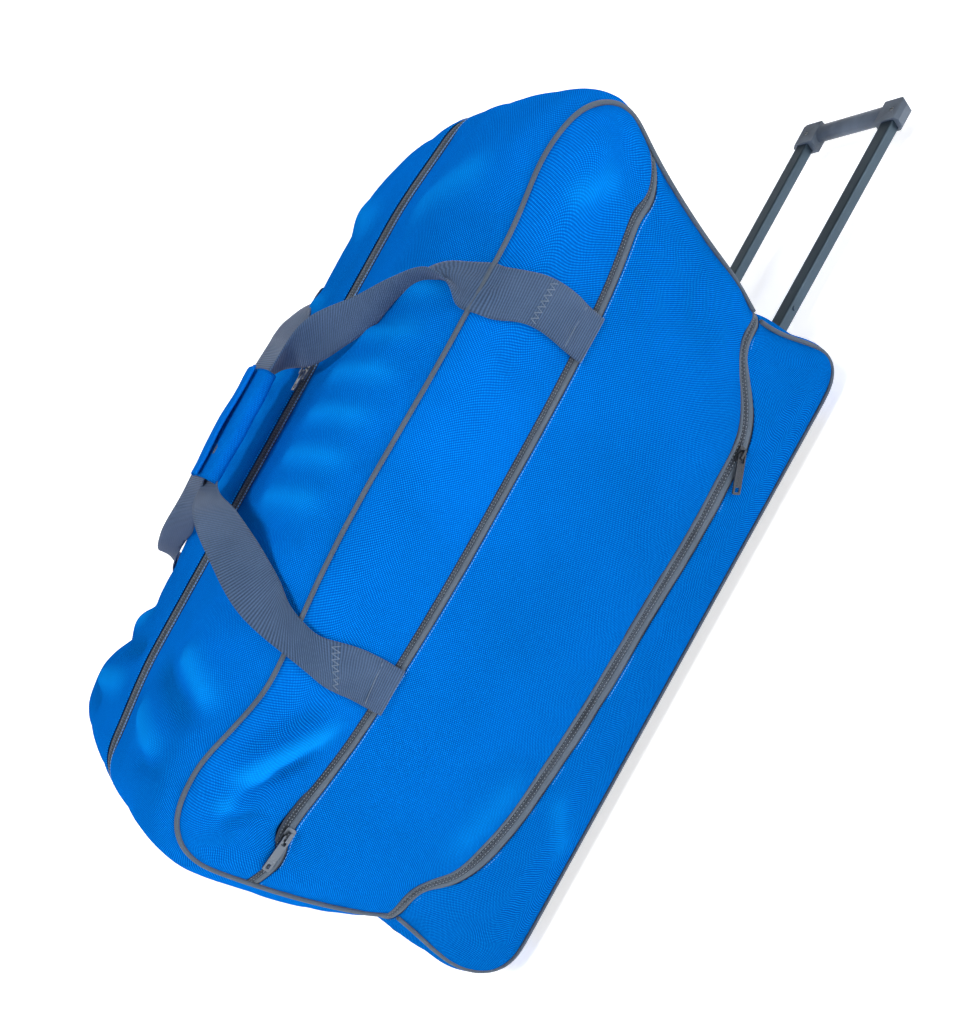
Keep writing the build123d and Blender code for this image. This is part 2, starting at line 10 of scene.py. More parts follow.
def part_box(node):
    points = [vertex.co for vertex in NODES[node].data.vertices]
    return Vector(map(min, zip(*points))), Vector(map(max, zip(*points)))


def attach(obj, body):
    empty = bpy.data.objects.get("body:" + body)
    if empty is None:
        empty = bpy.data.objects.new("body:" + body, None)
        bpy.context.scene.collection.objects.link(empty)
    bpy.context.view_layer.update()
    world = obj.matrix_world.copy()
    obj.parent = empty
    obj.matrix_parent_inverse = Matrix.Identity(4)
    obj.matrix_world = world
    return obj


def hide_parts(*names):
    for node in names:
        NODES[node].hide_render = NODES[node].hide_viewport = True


# Rolling duffel bag on its base, handle pulled out. Metres, in the CAD model's frame.
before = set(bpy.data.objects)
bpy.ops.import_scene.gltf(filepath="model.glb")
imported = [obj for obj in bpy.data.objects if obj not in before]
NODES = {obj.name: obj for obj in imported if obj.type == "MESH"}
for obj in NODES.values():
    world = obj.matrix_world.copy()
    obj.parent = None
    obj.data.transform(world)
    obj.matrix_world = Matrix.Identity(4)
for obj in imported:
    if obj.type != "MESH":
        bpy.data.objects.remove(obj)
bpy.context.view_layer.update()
SIDES = {"right": -1, "left": 1}


def corner(node, end, axis):
    """One coordinate of a CAD node's box: end 0 is its lowest corner, 1 its highest."""
    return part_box(node)[end][axis]


# Places read from the frame
WHEEL_END = corner("end_panel_wheel", 0, 0)
HANDLE_END = corner("end_panel_handle", 1, 0)
MIDDLE_X = (WHEEL_END + HANDLE_END) / 2
HALF_LENGTH = (HANDLE_END - WHEEL_END) / 2
HALF_WIDTH = corner("side_lower_left", 1, 1)
HEM_Z = corner("base_floor", 0, 2)
CROWN_Z = corner("main_zip", 1, 2)
ZIP_WIDTH = corner("main_zip", 1, 1) - corner("main_zip", 0, 1)
END_SEAM_Z = corner("end_panel_wheel", 1, 2)


# ------------------------------------------------------------- small helpers

def smooth(t):
    """0 below 0, 1 above 1, and a smooth step between."""
    t = np.clip(t, 0, 1)
    return t * t * (3 - 2 * t)


def curve(knots, at):
    """A smooth line through (place, value) knots, read at the given places."""
    x, y = np.array(knots, float).T
    slope = np.gradient(y, x)
    at = np.clip(at, x[0], x[-1])
    i = np.clip(np.searchsorted(x, at) - 1, 0, len(x) - 2)
    step = x[i + 1] - x[i]
    t = (at - x[i]) / step
    return (
        (1 + 2 * t) * (1 - t) ** 2 * y[i] + t * (1 - t) ** 2 * step * slope[i]
        + t * t * (3 - 2 * t) * y[i + 1] + t * t * (t - 1) * step * slope[i + 1]
    )


def distances(path):
    """How far along a path each of its points is."""
    return np.concatenate([[0], np.cumsum(np.linalg.norm(np.diff(path, axis=0), axis=1))])


def around(sides):
    """Evenly spaced angles round a circle."""
    return [2 * pi * i / sides for i in range(sides)]


def strip_faces(rows, columns, closed=False, turned=False):
    """Quads between rows of points, each row a ring if closed. turned faces them the other way."""
    faces = []
    for s in range(rows - 1):
        for i in range(columns if closed else columns - 1):
            a, b = s * columns + i, s * columns + (i + 1) % columns
            faces.append([a, a + columns, b + columns, b] if turned else [a, b, b + columns, a + columns])
    return faces


def mesh_object(name, points, faces, uvs=None):
    """A smooth-shaded mesh object. uvs gives one (u, v) for each corner of each face."""
    mesh = bpy.data.meshes.new(name)
    mesh.from_pydata([tuple(p) for p in points], [], [tuple(f) for f in faces])
    if uvs is not None:
        layer = mesh.uv_layers.new(name="cloth")
        layer.data.foreach_set("uv", np.array(uvs, np.float32).ravel())
    mesh.shade_smooth()
    thing = bpy.data.objects.new(name, mesh)
    bpy.context.scene.collection.objects.link(thing)
    return thing


def apply_modifiers(thing):
    """Replaces the mesh by what its modifiers make of it."""
    graph = bpy.context.evaluated_depsgraph_get()
    mesh = bpy.data.meshes.new_from_object(thing.evaluated_get(graph))
    thing.modifiers.clear()
    thing.data = mesh


def modifier(thing, kind, **settings):
    """Adds a modifier with these settings."""
    made = thing.modifiers.new(kind.lower(), kind)
    for name, value in settings.items():
        setattr(made, name, value)
    return made


def finish_piece(thing, look, body, slot, *nodes):
    """Gives a piece its material and its body, and hides the CAD nodes that it stands for. Its slot is not
    used.
    """
    thing.data.materials.clear()
    thing.data.materials.append(look)
    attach(thing, body)
    if nodes:
        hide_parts(*nodes)
    return thing


class Build:
    """Points and faces collected for one mesh."""

    def __init__(self):
        self.points = []
        self.faces = []
        self.uvs = []

    def add(self, points, faces, uvs=None):
        """Adds a part. uvs gives one (u, v) for each point."""
        corners = [uvs[i] if uvs is not None else (0.0, 0.0) for face in faces for i in face]
        self.add_corners(points, faces, corners)

    def add_corners(self, points, faces, corners):
        """Adds a part with one (u, v) for each corner of each face."""
        start = len(self.points)
        self.points.extend(tuple(p) for p in points)
        self.faces.extend([start + i for i in face] for face in faces)
        self.uvs.extend(corners)

    def object(self, name):
        return mesh_object(name, self.points, self.faces, self.uvs)


def frames_along(path, ups):
    """Unit directions along, up and across at each point of a path."""
    path = np.array(path, float)
    along = np.gradient(path, axis=0)
    along /= np.linalg.norm(along, axis=1)[:, None]
    ups = np.array(ups, float)
    ups = ups - (ups * along).sum(1)[:, None] * along
    ups /= np.linalg.norm(ups, axis=1)[:, None]
    return path, along, ups, np.cross(along, ups)


def resample(path, others, spacing):
    """Evenly spaced points along a path, and the other rows at the same places."""
    path = np.array(path, float)
    reach = distances(path)
    count = max(2, int(round(reach[-1] / spacing)) + 1)
    at = np.linspace(0, reach[-1], count)
    pick = lambda rows: np.stack([np.interp(at, reach, column) for column in np.array(rows, float).T], 1)
    return [pick(path)] + [pick(rows) for rows in others]


def sweep(build, path, ups, section, stretch=None):
    """Sweeps a closed (across, up) section along a path and closes both ends. stretch widens it by place."""
    path, along, ups, across = frames_along(path, ups)
    if stretch is not None:
        across = across * np.reshape(stretch, (-1, 1))
    reach = distances(path)
    section = np.array(section, float)
    loop = np.vstack([section, section[:1]])
    round_it = distances(loop)
    n = len(section)
    points = []
    for p, u, a in zip(path, ups, across):
        points.extend(p + a * s[0] + u * s[1] for s in section)
    faces = strip_faces(len(path), n, closed=True)
    corners = []
    for near, far in zip(reach, reach[1:]):
        for one, two in zip(round_it, round_it[1:]):
            corners += [(near, one), (near, two), (far, two), (far, one)]
    for i, order in ((0, -1), (len(path) - 1, 1)):
        faces.append([i * n + j for j in range(n)][::order])
        corners += [(reach[i], round_it[j]) for j in range(n)][::order]
    build.add_corners(points, faces, corners)


def ring_section(radius, sides):
    """A round section."""
    return [(radius * cos(turn), radius * sin(turn)) for turn in around(sides)]


# -------------------------------------------------------------------- camera

LENS = 32.7
IMAGE_SHIFT = 0.18
CAMERA_AT = Vector((MIDDLE_X - 0.1384, -0.9757, 0.7917))
CAMERA_DOWN = radians(34.61)
CAMERA_TURN = radians(0.17)
CAMERA_ROLL = radians(61.02)


def add_camera():
    """The camera, turned on its side so that the body stands steeply in the picture."""
    forward = Vector((sin(CAMERA_TURN), cos(CAMERA_TURN), 0)) * cos(CAMERA_DOWN)
    forward -= Vector((0, 0, sin(CAMERA_DOWN)))
    level = Vector((cos(CAMERA_TURN), -sin(CAMERA_TURN), 0))
    above = level.cross(forward)
    right = level * cos(CAMERA_ROLL) - above * sin(CAMERA_ROLL)
    up = level * sin(CAMERA_ROLL) + above * cos(CAMERA_ROLL)
    data = bpy.data.cameras.new("camera")
    data.lens = LENS
    data.sensor_width = 36
    data.shift_y = IMAGE_SHIFT
    data.clip_start = 0.05
    thing = bpy.data.objects.new("camera", data)
    bpy.context.scene.collection.objects.link(thing)
    turn = Matrix((right, up, -forward)).transposed().to_4x4()
    thing.matrix_world = Matrix.Translation(CAMERA_AT) @ turn
    bpy.context.scene.camera = thing


add_camera()
bpy.context.scene.view_settings.view_transform = "Standard"


# ----------------------------------------------------------------- materials

class Shader:
    """A material's nodes, made with short calls. Values may be numbers, colours or sockets."""

    def __init__(self, name):
        self.material = bpy.data.materials.new(name)
        self.material.use_nodes = True
        self.tree = self.material.node_tree
        self.surface = self.tree.nodes["Principled BSDF"]

    def node(self, kind, inputs=(), **settings):
        """A new node, with its inputs and settings filled in."""
        made = self.tree.nodes.new("ShaderNode" + kind)
        for name, value in settings.items():
            setattr(made, name, value)
        for name, value in dict(inputs).items():
            self.put(made.inputs[name], value)
        return made

    def put(self, socket, value):
        """Links a socket to an input, or sets the input to a number or colour."""
        if isinstance(value, bpy.types.NodeSocket):
            self.tree.links.new(value, socket)
        else:
            socket.default_value = value

    def set(self, **values):
        """Fills in the surface shader. An underscore stands for a space."""
        for name, value in values.items():
            self.put(self.surface.inputs[name.replace("_", " ")], value)

    def math(self, operation, *values):
        """A sum of up to three values."""
        return self.node("Math", dict(enumerate(values)), operation=operation).outputs[0]

    def mix(self, share, a, b):
        """A colour between a and b."""
        node = self.node("Mix", {0: share, 6: a, 7: b}, data_type="RGBA")
        return node.outputs[2]

    def ramp(self, value, low, high, to_low=0.0, to_high=1.0):
        """A value moved from one range to another and held inside it."""
        inputs = {"Value": value, "From Min": low, "From Max": high, "To Min": to_low, "To Max": to_high}
        return self.node("MapRange", inputs).outputs[0]

    def noise(self, where, scale, detail=3.0, roughness=0.5):
        """Soft random clouds."""
        inputs = {"Vector": where, "Scale": scale, "Detail": detail, "Roughness": roughness}
        return self.node("TexNoise", inputs).outputs[0]

    def place(self):
        """The point's own place on its piece, in metres."""
        return self.node("TexCoord").outputs["Object"]

    def cloth(self):
        """Two sockets: distance along and across the cloth, in metres."""
        split = self.node("SeparateXYZ", {0: self.node("UVMap", uv_map="cloth").outputs[0]})
        return split.outputs[0], split.outputs[1]

    def wave(self, distance, pitch):
        """A sine of a distance, from -1 to 1, one period for each pitch."""
        return self.math("SINE", self.math("MULTIPLY", distance, 2 * pi / pitch))

    def bump(self, height, distance, strength):
        """A normal tilted by a height."""
        return self.node("Bump", {"Height": height, "Distance": distance, "Strength": strength}).outputs[0]


def scaled(colour, factor):
    """A colour made darker or lighter."""
    return (*[min(1, factor * v) for v in colour[:3]], 1.0)


def shade(red, green, blue):
    """A colour from its 0-255 screen values."""
    line = lambda v: v / 12.92 if v <= 0.04045 else ((v + 0.055) / 1.055) ** 2.4
    return (*[line(v / 255) for v in (red, green, blue)], 1.0)


# A fold this high, in metres, gets its full painted highlight on a crest or its full painted shade in a
# hollow.
FOLD_FULL = 0.007


def woven(name, dark, light, far, pitch=0.0027, relief=0.0003):
    """Coarse woven polyester: raised yarn crossings in a brick pattern, with painted highlights on their
    tops.
    """
    s = Shader(name)
    along, across = s.cloth()
    where = s.place()
    drift = s.noise(where, 90.0, 2.0)
    shifted = s.math("MULTIPLY_ADD", drift, 0.0012, along)
    crossed = s.math("MULTIPLY_ADD", drift, -0.0009, across)
    dots = s.math("MULTIPLY", s.wave(shifted, pitch), s.wave(crossed, pitch))
    height = s.ramp(dots, -0.25, 0.8)
    yarn = s.noise(where, 900.0, 2.0, 0.6)
    # Painted highlight: the tops of the raised yarn crossings are painted in the lighter colour.
    yarn_highlight = s.math("MULTIPLY", height, s.ramp(yarn, 0.3, 0.7, 0.55, 1.0))
    patches = s.noise(where, 5.0, 3.0)
    height_up = s.node("SeparateXYZ", {0: where}).outputs[2]
    base = s.mix(s.ramp(patches, 0.35, 0.65), dark, far)
    # Painted shade: the cloth is painted darker towards the bottom of the body.
    painted_shade = scaled(dark, 0.62)
    base = s.mix(s.ramp(height_up, 0.12, 0.46, 0.65, 0.0), base, painted_shade)
    # Painted light from the folds: crests are painted lighter as highlights and hollows darker as shade.
    fold = s.node("Attribute", attribute_name="fold").outputs["Fac"]
    base = s.mix(s.ramp(fold, 0.0, FOLD_FULL, 0.0, 0.55), base, light)
    base = s.mix(s.ramp(fold, 0.0, -FOLD_FULL, 0.0, 0.7), base, painted_shade)
    s.set(
        Base_Color=s.mix(yarn_highlight, base, light),
        Roughness=s.ramp(yarn, 0.2, 0.8, 0.36, 0.5),
        Normal=s.bump(height, relief, 0.9),
        Sheen_Weight=0.16,
        Sheen_Tint=shade(10, 130, 255),
        Sheen_Roughness=0.4,
        Specular_IOR_Level=0.0,
    )
    return s.material


def webbing_look():
    """Grey ribbed webbing: ribs across the band with finer rows of yarn along it."""
    s = Shader("webbing")
    along, across = s.cloth()
    where = s.place()
    fuzz = s.noise(where, 1200.0, 2.0, 0.6)
    rib = s.wave(along, 0.0026)
    row = s.wave(across, 0.0030)
    weave = s.ramp(s.math("ADD", s.math("MULTIPLY", rib, 0.9), s.math("MULTIPLY", row, 0.12)), -1.0, 1.0)
    tone = s.ramp(s.math("ADD", weave, s.math("MULTIPLY", fuzz, 0.7)), 0.35, 1.35)
    worn = s.ramp(s.noise(where, 14.0), 0.4, 0.7, 0.0, 0.25)
    base = s.mix(tone, shade(34, 54, 80), shade(68, 94, 130))
    s.set(
        Base_Color=s.mix(worn, base, shade(90, 114, 148)),
        Roughness=0.78,
        Normal=s.bump(weave, 0.0005, 0.9),
        Sheen_Weight=0.15,
        Sheen_Roughness=0.5,
        Specular_IOR_Level=0.3,
    )
    return s.material


def tape_look(name, dark, light):
    """Fine woven tape, as on zips and cord covers."""
    s = Shader(name)
    along, across = s.cloth()
    where = s.place()
    fuzz = s.noise(where, 1500.0, 2.0, 0.6)
    pitch = 0.0012
    weave = s.ramp(s.math("MULTIPLY", s.wave(along, pitch), s.wave(across, pitch)), -0.6, 0.9)
    tone = s.math("MULTIPLY_ADD", fuzz, 0.6, s.math("MULTIPLY", weave, 0.4))
    shadow = s.ramp(s.noise(where, 25.0), 0.35, 0.7, 0.0, 0.3)
    base = s.mix(s.ramp(tone, 0.2, 0.8), dark, light)
    s.set(
        Base_Color=s.mix(shadow, base, dark),
        Roughness=0.7,
        Normal=s.bump(weave, 0.0002, 0.7),
        Sheen_Weight=0.1,
        Specular_IOR_Level=0.35,
    )
    return s.material


def moulded(name, dark, light, roughness=0.42, grain=0.00008, specular=0.5):
    """Moulded plastic: fine grain, faint flow marks and painted highlights on its sharp edges."""
    s = Shader(name)
    where = s.place()
    texture = s.noise(where, 1400.0, 2.0, 0.6)
    cloud = s.noise(where, 18.0, 4.0)
    edge = s.ramp(s.node("NewGeometry").outputs["Pointiness"], 0.52, 0.62)
    base = s.mix(s.ramp(cloud, 0.35, 0.7), dark, light)
    # Painted highlight: sharp edges are painted much lighter, unevenly along their length.
    edge_highlight = s.math("MULTIPLY", edge, s.ramp(cloud, 0.3, 0.6, 0.2, 0.6))
    s.set(
        Base_Color=s.mix(edge_highlight, base, tuple(min(1, 1.8 * v + 0.02) for v in light[:3]) + (1.0,)),
        Roughness=s.ramp(texture, 0.3, 0.7, roughness - 0.06, roughness + 0.1),
        Normal=s.bump(texture, grain, 0.8),
        Specular_IOR_Level=specular,
    )
    return s.material


def metal(name, tone, roughness, grain_axis=0):
    """Drawn or brushed metal with fine lines along one axis."""
    s = Shader(name)
    where = s.place()
    stretch = [900.0, 900.0, 900.0]
    stretch[grain_axis] = 6.0
    lines = s.node("TexNoise", {
        "Vector": s.node("Mapping", {"Vector": where, "Scale": tuple(stretch)}).outputs[0],
        "Scale": 1.0, "Detail": 3.0, "Roughness": 0.6,
    }).outputs[0]
    cloud = s.noise(where, 11.0, 4.0)
    s.set(
        Base_Color=s.mix(s.ramp(cloud, 0.35, 0.7, 0.0, 0.8), tone, scaled(tone, 0.72)),
        Metallic=1.0,
        Roughness=s.ramp(lines, 0.3, 0.7, roughness - 0.06, roughness + 0.1),
        Normal=s.bump(lines, 0.00003, 0.5),
    )
    return s.material


BLUE = woven("blue_weave", shade(0, 68, 160), shade(8, 154, 250), shade(0, 86, 192))
BLUE_PLAIN = woven("blue_plain", shade(0, 86, 188), shade(14, 136, 226), shade(2, 96, 202), 0.0016, 0.00015)
BASE_CLOTH = woven("base_cloth", shade(22, 25, 30), shade(58, 64, 72), shade(28, 31, 36), 0.0028)
CORD = tape_look("cord_cover", shade(46, 58, 72), shade(104, 118, 134))
TAPE = tape_look("zip_tape", shade(58, 70, 84), shade(108, 122, 136))
COIL = moulded("zip_coil", shade(24, 30, 38), shade(62, 72, 84), 0.35)
THREAD = tape_look("light_blue_thread", shade(60, 150, 240), shade(130, 195, 255))
WEBBING = webbing_look()
TAPE_DARK = tape_look("zip_tape_dark", shade(30, 40, 54), shade(66, 80, 98))
COIL_THREAD = tape_look("coil_thread", shade(120, 132, 146), shade(176, 186, 196))
STRAP_THREAD = tape_look("strap_thread", shade(84, 102, 124), shade(124, 142, 164))
TUBE_METAL = metal("anodised_tube", shade(84, 100, 112), 0.36)
STEEL = metal("zinc_steel", shade(196, 200, 204), 0.28, 1)
ZIP_METAL = metal("zip_metal", shade(112, 120, 130), 0.3, 2)
GRIP = moulded("grip_plastic", shade(52, 61, 72), shade(76, 87, 100), 0.48, 0.00012)
BLACK = moulded("black_plastic", shade(22, 24, 27), shade(38, 41, 45), 0.45)
PULL_BLACK = moulded("pull_enamel", shade(26, 30, 36), shade(50, 56, 64), 0.3, 0.00003)
HUB = moulded("hub_plastic", shade(70, 74, 79), shade(98, 102, 107), 0.4)
TYRE = moulded("tyre_rubber", shade(20, 21, 23), shade(34, 35, 37), 0.7, 0.00015, 0.3)
BOARD = moulded("board_plastic", shade(48, 50, 53), shade(64, 66, 70), 0.6)


# ---------------------------------------------------------------- cloth shell
#
# The bag is one closed skin on a box grid: rows run round the body, columns over it. The seams are
# grid lines, so panels, cords and zips cut from the simulated skin always meet.

BASE_ZIP_WIDTH = 0.024
BASE_ZIP_TAPER = 0.009
EDGE_RADIUS = 0.034
TOP_CORNER_RADIUS = 0.048
BOTTOM_CORNER_RADIUS = 0.030
TOP_EDGE_Z = 0.470
COLUMNS = 82
# Rows between the hem, the two edges of the base zip, those of the pocket zip, and the top edge
ROW_COUNTS = (8, 2, 20, 1, 9)
ZIP_COLUMNS_HALF = 1
PANEL_COLUMNS_HALF = 19

# Height of the base zip along the body, and of the pocket zip, by distance from the middle
BASE_ZIP_LINE = [
    (-0.41, 0.213), (-0.372, 0.210), (-0.322, 0.170), (-0.267, 0.148), (-0.151, 0.128), (0.03, 0.116),
    (0.19, 0.111), (0.269, 0.118), (0.319, 0.145), (0.352, 0.170), (0.41, 0.172),
]
POCKET_ZIP_LINE = [
    (-0.41, 0.380), (-0.384, 0.379), (-0.334, 0.3735), (-0.23, 0.3605), (-0.1, 0.351), (0.06, 0.348),
    (0.2, 0.350), (0.3, 0.358), (0.365, 0.371), (0.41, 0.386),
]
# How far the sewn corners of the ends stand from the middle, by height
WHEEL_CORNER = [
    (0.02, 0.385), (0.055, 0.402), (0.10, 0.406), (0.17, 0.386), (0.205, 0.375), (0.25, 0.382),
    (0.33, 0.389), (0.42, 0.389), (0.47, 0.386),
]
HANDLE_CORNER = [
    (0.02, 0.392), (0.055, 0.402), (0.10, 0.386), (0.16, 0.364), (0.22, 0.373), (0.28, 0.378),
    (0.38, 0.394), (0.42, 0.404), (0.47, 0.402),
]
# How far the middle of each end stands out
WHEEL_FACE = [(0.02, 0.405), (0.06, 0.4095), (0.145, 0.4095), (0.21, 0.397), (0.30, 0.410), (0.47, 0.408)]
HANDLE_FACE = [(0.02, 0.405), (0.06, 0.4095), (0.10, 0.408), (0.17, 0.392), (0.28, 0.408), (0.47, 0.415)]
# How far the long top edges rise above their level stretch
TOP_RISE = [
    (-0.41, 0.008), (-0.36, 0.013), (-0.32, 0.015), (-0.27, 0.004), (-0.22, -0.006), (-0.18, -0.005),
    (-0.1, 0.001), (0.14, 0.0), (0.25, 0.001), (0.32, 0.008), (0.38, -0.004), (0.41, -0.012),
]


def depth_outline(x, z, depth):
    """A point of the side outline drawn in by depth, in the direction of box point (x, z)."""
    low, high = HEM_Z, TOP_EDGE_Z
    middle_z, half_z = (low + high) / 2, (high - low) / 2
    scale = np.maximum(np.abs(x) / HALF_LENGTH, np.abs(z - middle_z) / half_z)
    scale = np.maximum(scale, 1e-6)
    x1 = x / scale * (1 - depth / HALF_LENGTH)
    z1 = (z - middle_z) / scale * (1 - depth / half_z)
    radius = np.where(z1 > 0, TOP_CORNER_RADIUS, BOTTOM_CORNER_RADIUS)
    radius = np.maximum(radius - 0.4 * depth, 0.004)
    inner_x = np.clip(x1, -(HALF_LENGTH - depth - radius), HALF_LENGTH - depth - radius)
    inner_z = np.clip(z1, -(half_z - depth - radius), half_z - depth - radius)
    dx, dz = x1 - inner_x, z1 - inner_z
    reach = np.maximum(np.hypot(dx, dz), 1e-9)
    turned = (np.abs(dx) > 1e-9) & (np.abs(dz) > 1e-9)
    x2 = np.where(turned, inner_x + dx / reach * radius, x1)
    z2 = np.where(turned, inner_z + dz / reach * radius, z1)
    return x2, z2 + middle_z


def round_off(p):
    """Box points to the rounded skin: side outline first, then the long edges."""
    x, y, z = p.T
    low, high = HEM_Z, TOP_EDGE_Z
    depth = np.minimum(HALF_LENGTH - np.abs(x), np.minimum(z - low, high - z))
    depth = np.maximum(depth, 0)
    side = np.abs(y) > HALF_WIDTH - 1e-6
    r = EDGE_RADIUS
    over = np.clip(np.abs(y) - (HALF_WIDTH - r), 0, r)
    turn = np.where(side, np.arctan2(np.maximum(r - depth, 0), r), np.arctan2(r, over))
    new_depth = np.where(side & (depth > r), depth, r - r * np.sin(turn))
    new_y = np.where(
        side | (over > 0), np.sign(y) * (HALF_WIDTH - r + r * np.cos(turn)), y
    )
    flat_x, flat_z = depth_outline(x, z, new_depth)
    inside = side & (depth > 2 * r)
    near = np.where(side, smooth((depth - r) / r), 0)
    new_x = np.where(inside, x, flat_x * (1 - near) + x * near)
    new_z = np.where(inside, z, flat_z * (1 - near) + z * near)
    return np.stack([new_x, new_y, new_z], 1)


def shape_body(p):
    """Bulges, crown and leaning corners, on points measured from the middle of the body."""
    x, y, z = p.T.copy()
    pipe_x = HALF_LENGTH - EDGE_RADIUS * (1 - sqrt(0.5))
    pipe_y = HALF_WIDTH - EDGE_RADIUS * (1 - sqrt(0.5))
    edge = np.clip(np.abs(y) / pipe_y, 0, 1)
    corner_share = edge ** np.where(z < 0.15, 5.0, 3.0)
    face = np.where(x < 0, curve(WHEEL_FACE, z), curve(HANDLE_FACE, z))
    corners = np.where(x < 0, curve(WHEEL_CORNER, z), curve(HANDLE_CORNER, z))
    stand = (face - HALF_LENGTH) * (1 - corner_share) + (corners - pipe_x) * corner_share
    near_end = smooth((np.abs(x) - 0.2) / (HALF_LENGTH - 0.035 - 0.2))
    new_x = x + np.sign(x) * stand * near_end
    high = smooth((z - 0.34) / (TOP_EDGE_Z - 0.34))
    crown = (CROWN_Z - TOP_EDGE_Z) * (1 - (np.abs(y) / HALF_WIDTH) ** 2)
    ends_fall = 0.010 * smooth((np.abs(x) - 0.25) / 0.14) * (1 - edge**2)
    rise = curve(TOP_RISE, x) * np.where(y > 0, 1.5, 1.0) * edge**2
    new_z = z + high * (crown + rise - ends_fall)
    return np.stack([new_x, y, new_z], 1)


def row_heights(x):
    """Heights of the grid's rows at each x, from the hem to the top edge."""
    base, pocket = curve(BASE_ZIP_LINE, x), curve(POCKET_ZIP_LINE, x)
    half = BASE_ZIP_WIDTH / 2 - BASE_ZIP_TAPER / 2 * smooth((np.abs(x) - 0.27) / 0.09)
    lines = [
        np.full_like(x, HEM_Z), base - half, base + half,
        pocket - ZIP_WIDTH / 2, pocket + ZIP_WIDTH / 2, np.full_like(x, TOP_EDGE_Z),
    ]
    rows = [lines[0]]
    for count, low, high in zip(ROW_COUNTS, lines, lines[1:]):
        rows += [low + (high - low) * i / count for i in range(1, count + 1)]
    return np.array(rows)


class Skin:
    """The closed box grid, its points, its faces and what each face belongs to."""

    def __init__(self):
        self.xs = np.linspace(-HALF_LENGTH, HALF_LENGTH, COLUMNS + 1)
        zip_ys = np.linspace(0, ZIP_WIDTH / 2, ZIP_COLUMNS_HALF + 1)
        panel_ys = np.linspace(ZIP_WIDTH / 2, HALF_WIDTH, PANEL_COLUMNS_HALF + 1)
        half = np.concatenate([zip_ys, panel_ys[1:]])
        self.ys = np.concatenate([-half[:0:-1], half])
        self.rows = row_heights(self.xs)
        self.nx, self.ny, self.nz = COLUMNS, len(self.ys) - 1, sum(ROW_COUNTS)
        starts = np.cumsum((0,) + ROW_COUNTS)
        self.base_low, self.base_high, self.pocket_low, self.pocket_high = starts[1:5]
        self.number = {}
        points = []
        for i in range(self.nx + 1):
            for j in range(self.ny + 1):
                for k in range(self.nz + 1):
                    if i in (0, self.nx) or j in (0, self.ny) or k in (0, self.nz):
                        self.number[i, j, k] = len(points)
                        points.append((self.xs[i], self.ys[j], self.rows[k, i]))
        self.box = np.array(points)
        self.points = shape_body(round_off(self.box))
        self.points[:, 0] += MIDDLE_X
        self.faces = {}
        self.make_faces()

    def add_face(self, panel, quad, uvs):
        self.faces.setdefault(panel, []).append(([self.number[c] for c in quad], uvs))

    def make_faces(self):
        nx, ny, nz = self.nx, self.ny, self.nz
        end_seam = max(k for k in range(nz) if self.rows[k, 0] < END_SEAM_Z)
        for name, side in SIDES.items():
            j = 0 if side < 0 else ny
            for i in range(nx):
                for k in range(nz):
                    ids = [(i, j, k), (i + 1, j, k), (i + 1, j, k + 1), (i, j, k + 1)]
                    if k < self.base_low:
                        panel = f"base_side_{name}"
                    elif k < self.base_high:
                        panel = "base_zip"
                    elif k < self.pocket_low:
                        panel = f"side_lower_{name}"
                    elif k < self.pocket_high:
                        panel = f"pocket_zip_{name}"
                    else:
                        panel = f"side_upper_{name}"
                    uvs = [(self.xs[a], self.rows[c, a]) for a, b, c in ids]
                    self.add_face(panel, ids[:: side * -1], uvs[:: side * -1])
        for end, i in (("wheel", 0), ("handle", nx)):
            for j in range(ny):
                middle = (self.ys[j] + self.ys[j + 1]) / 2
                for k in range(nz):
                    ids = [(i, j, k), (i, j + 1, k), (i, j + 1, k + 1), (i, j, k + 1)]
                    if k < self.base_low:
                        panel = f"base_end_{end}"
                    elif k < self.base_high:
                        panel = "base_zip"
                    elif k < end_seam:
                        panel = f"end_panel_{end}"
                    else:
                        panel = self.top_name(middle)
                    uvs = [(self.ys[b], self.rows[c, i]) for a, b, c in ids]
                    order = 1 if i else -1
                    self.add_face(panel, ids[::order], uvs[::order])
        for i in range(nx):
            middle_x = abs(self.xs[i] + self.xs[i + 1]) / 2
            for j in range(ny):
                middle = (self.ys[j] + self.ys[j + 1]) / 2
                ids = [(i, j, nz), (i + 1, j, nz), (i + 1, j + 1, nz), (i, j + 1, nz)]
                uvs = [(self.xs[a], self.ys[b]) for a, b, c in ids]
                self.add_face(self.top_name(middle), ids, uvs)
                ids = [(a, b, 0) for a, b, c in ids][::-1]
                panel = "base_floor"
                if middle_x > HALF_LENGTH - 0.04:
                    panel = "base_end_wheel" if i < nx / 2 else "base_end_handle"
                self.add_face(panel, ids, uvs[::-1])

    def top_name(self, y):
        if abs(y) < ZIP_WIDTH / 2:
            return "main_zip"
        return "top_panel_left" if y > 0 else "top_panel_right"

    def line(self, *stretches):
        """Points of grid lines end to end. A stretch is three index lists of which one varies."""
        ids = []
        for stretch in stretches:
            for spot in stretch:
                if not ids or self.number[spot] != ids[-1]:
                    ids.append(self.number[spot])
        return ids


SKIN = Skin()


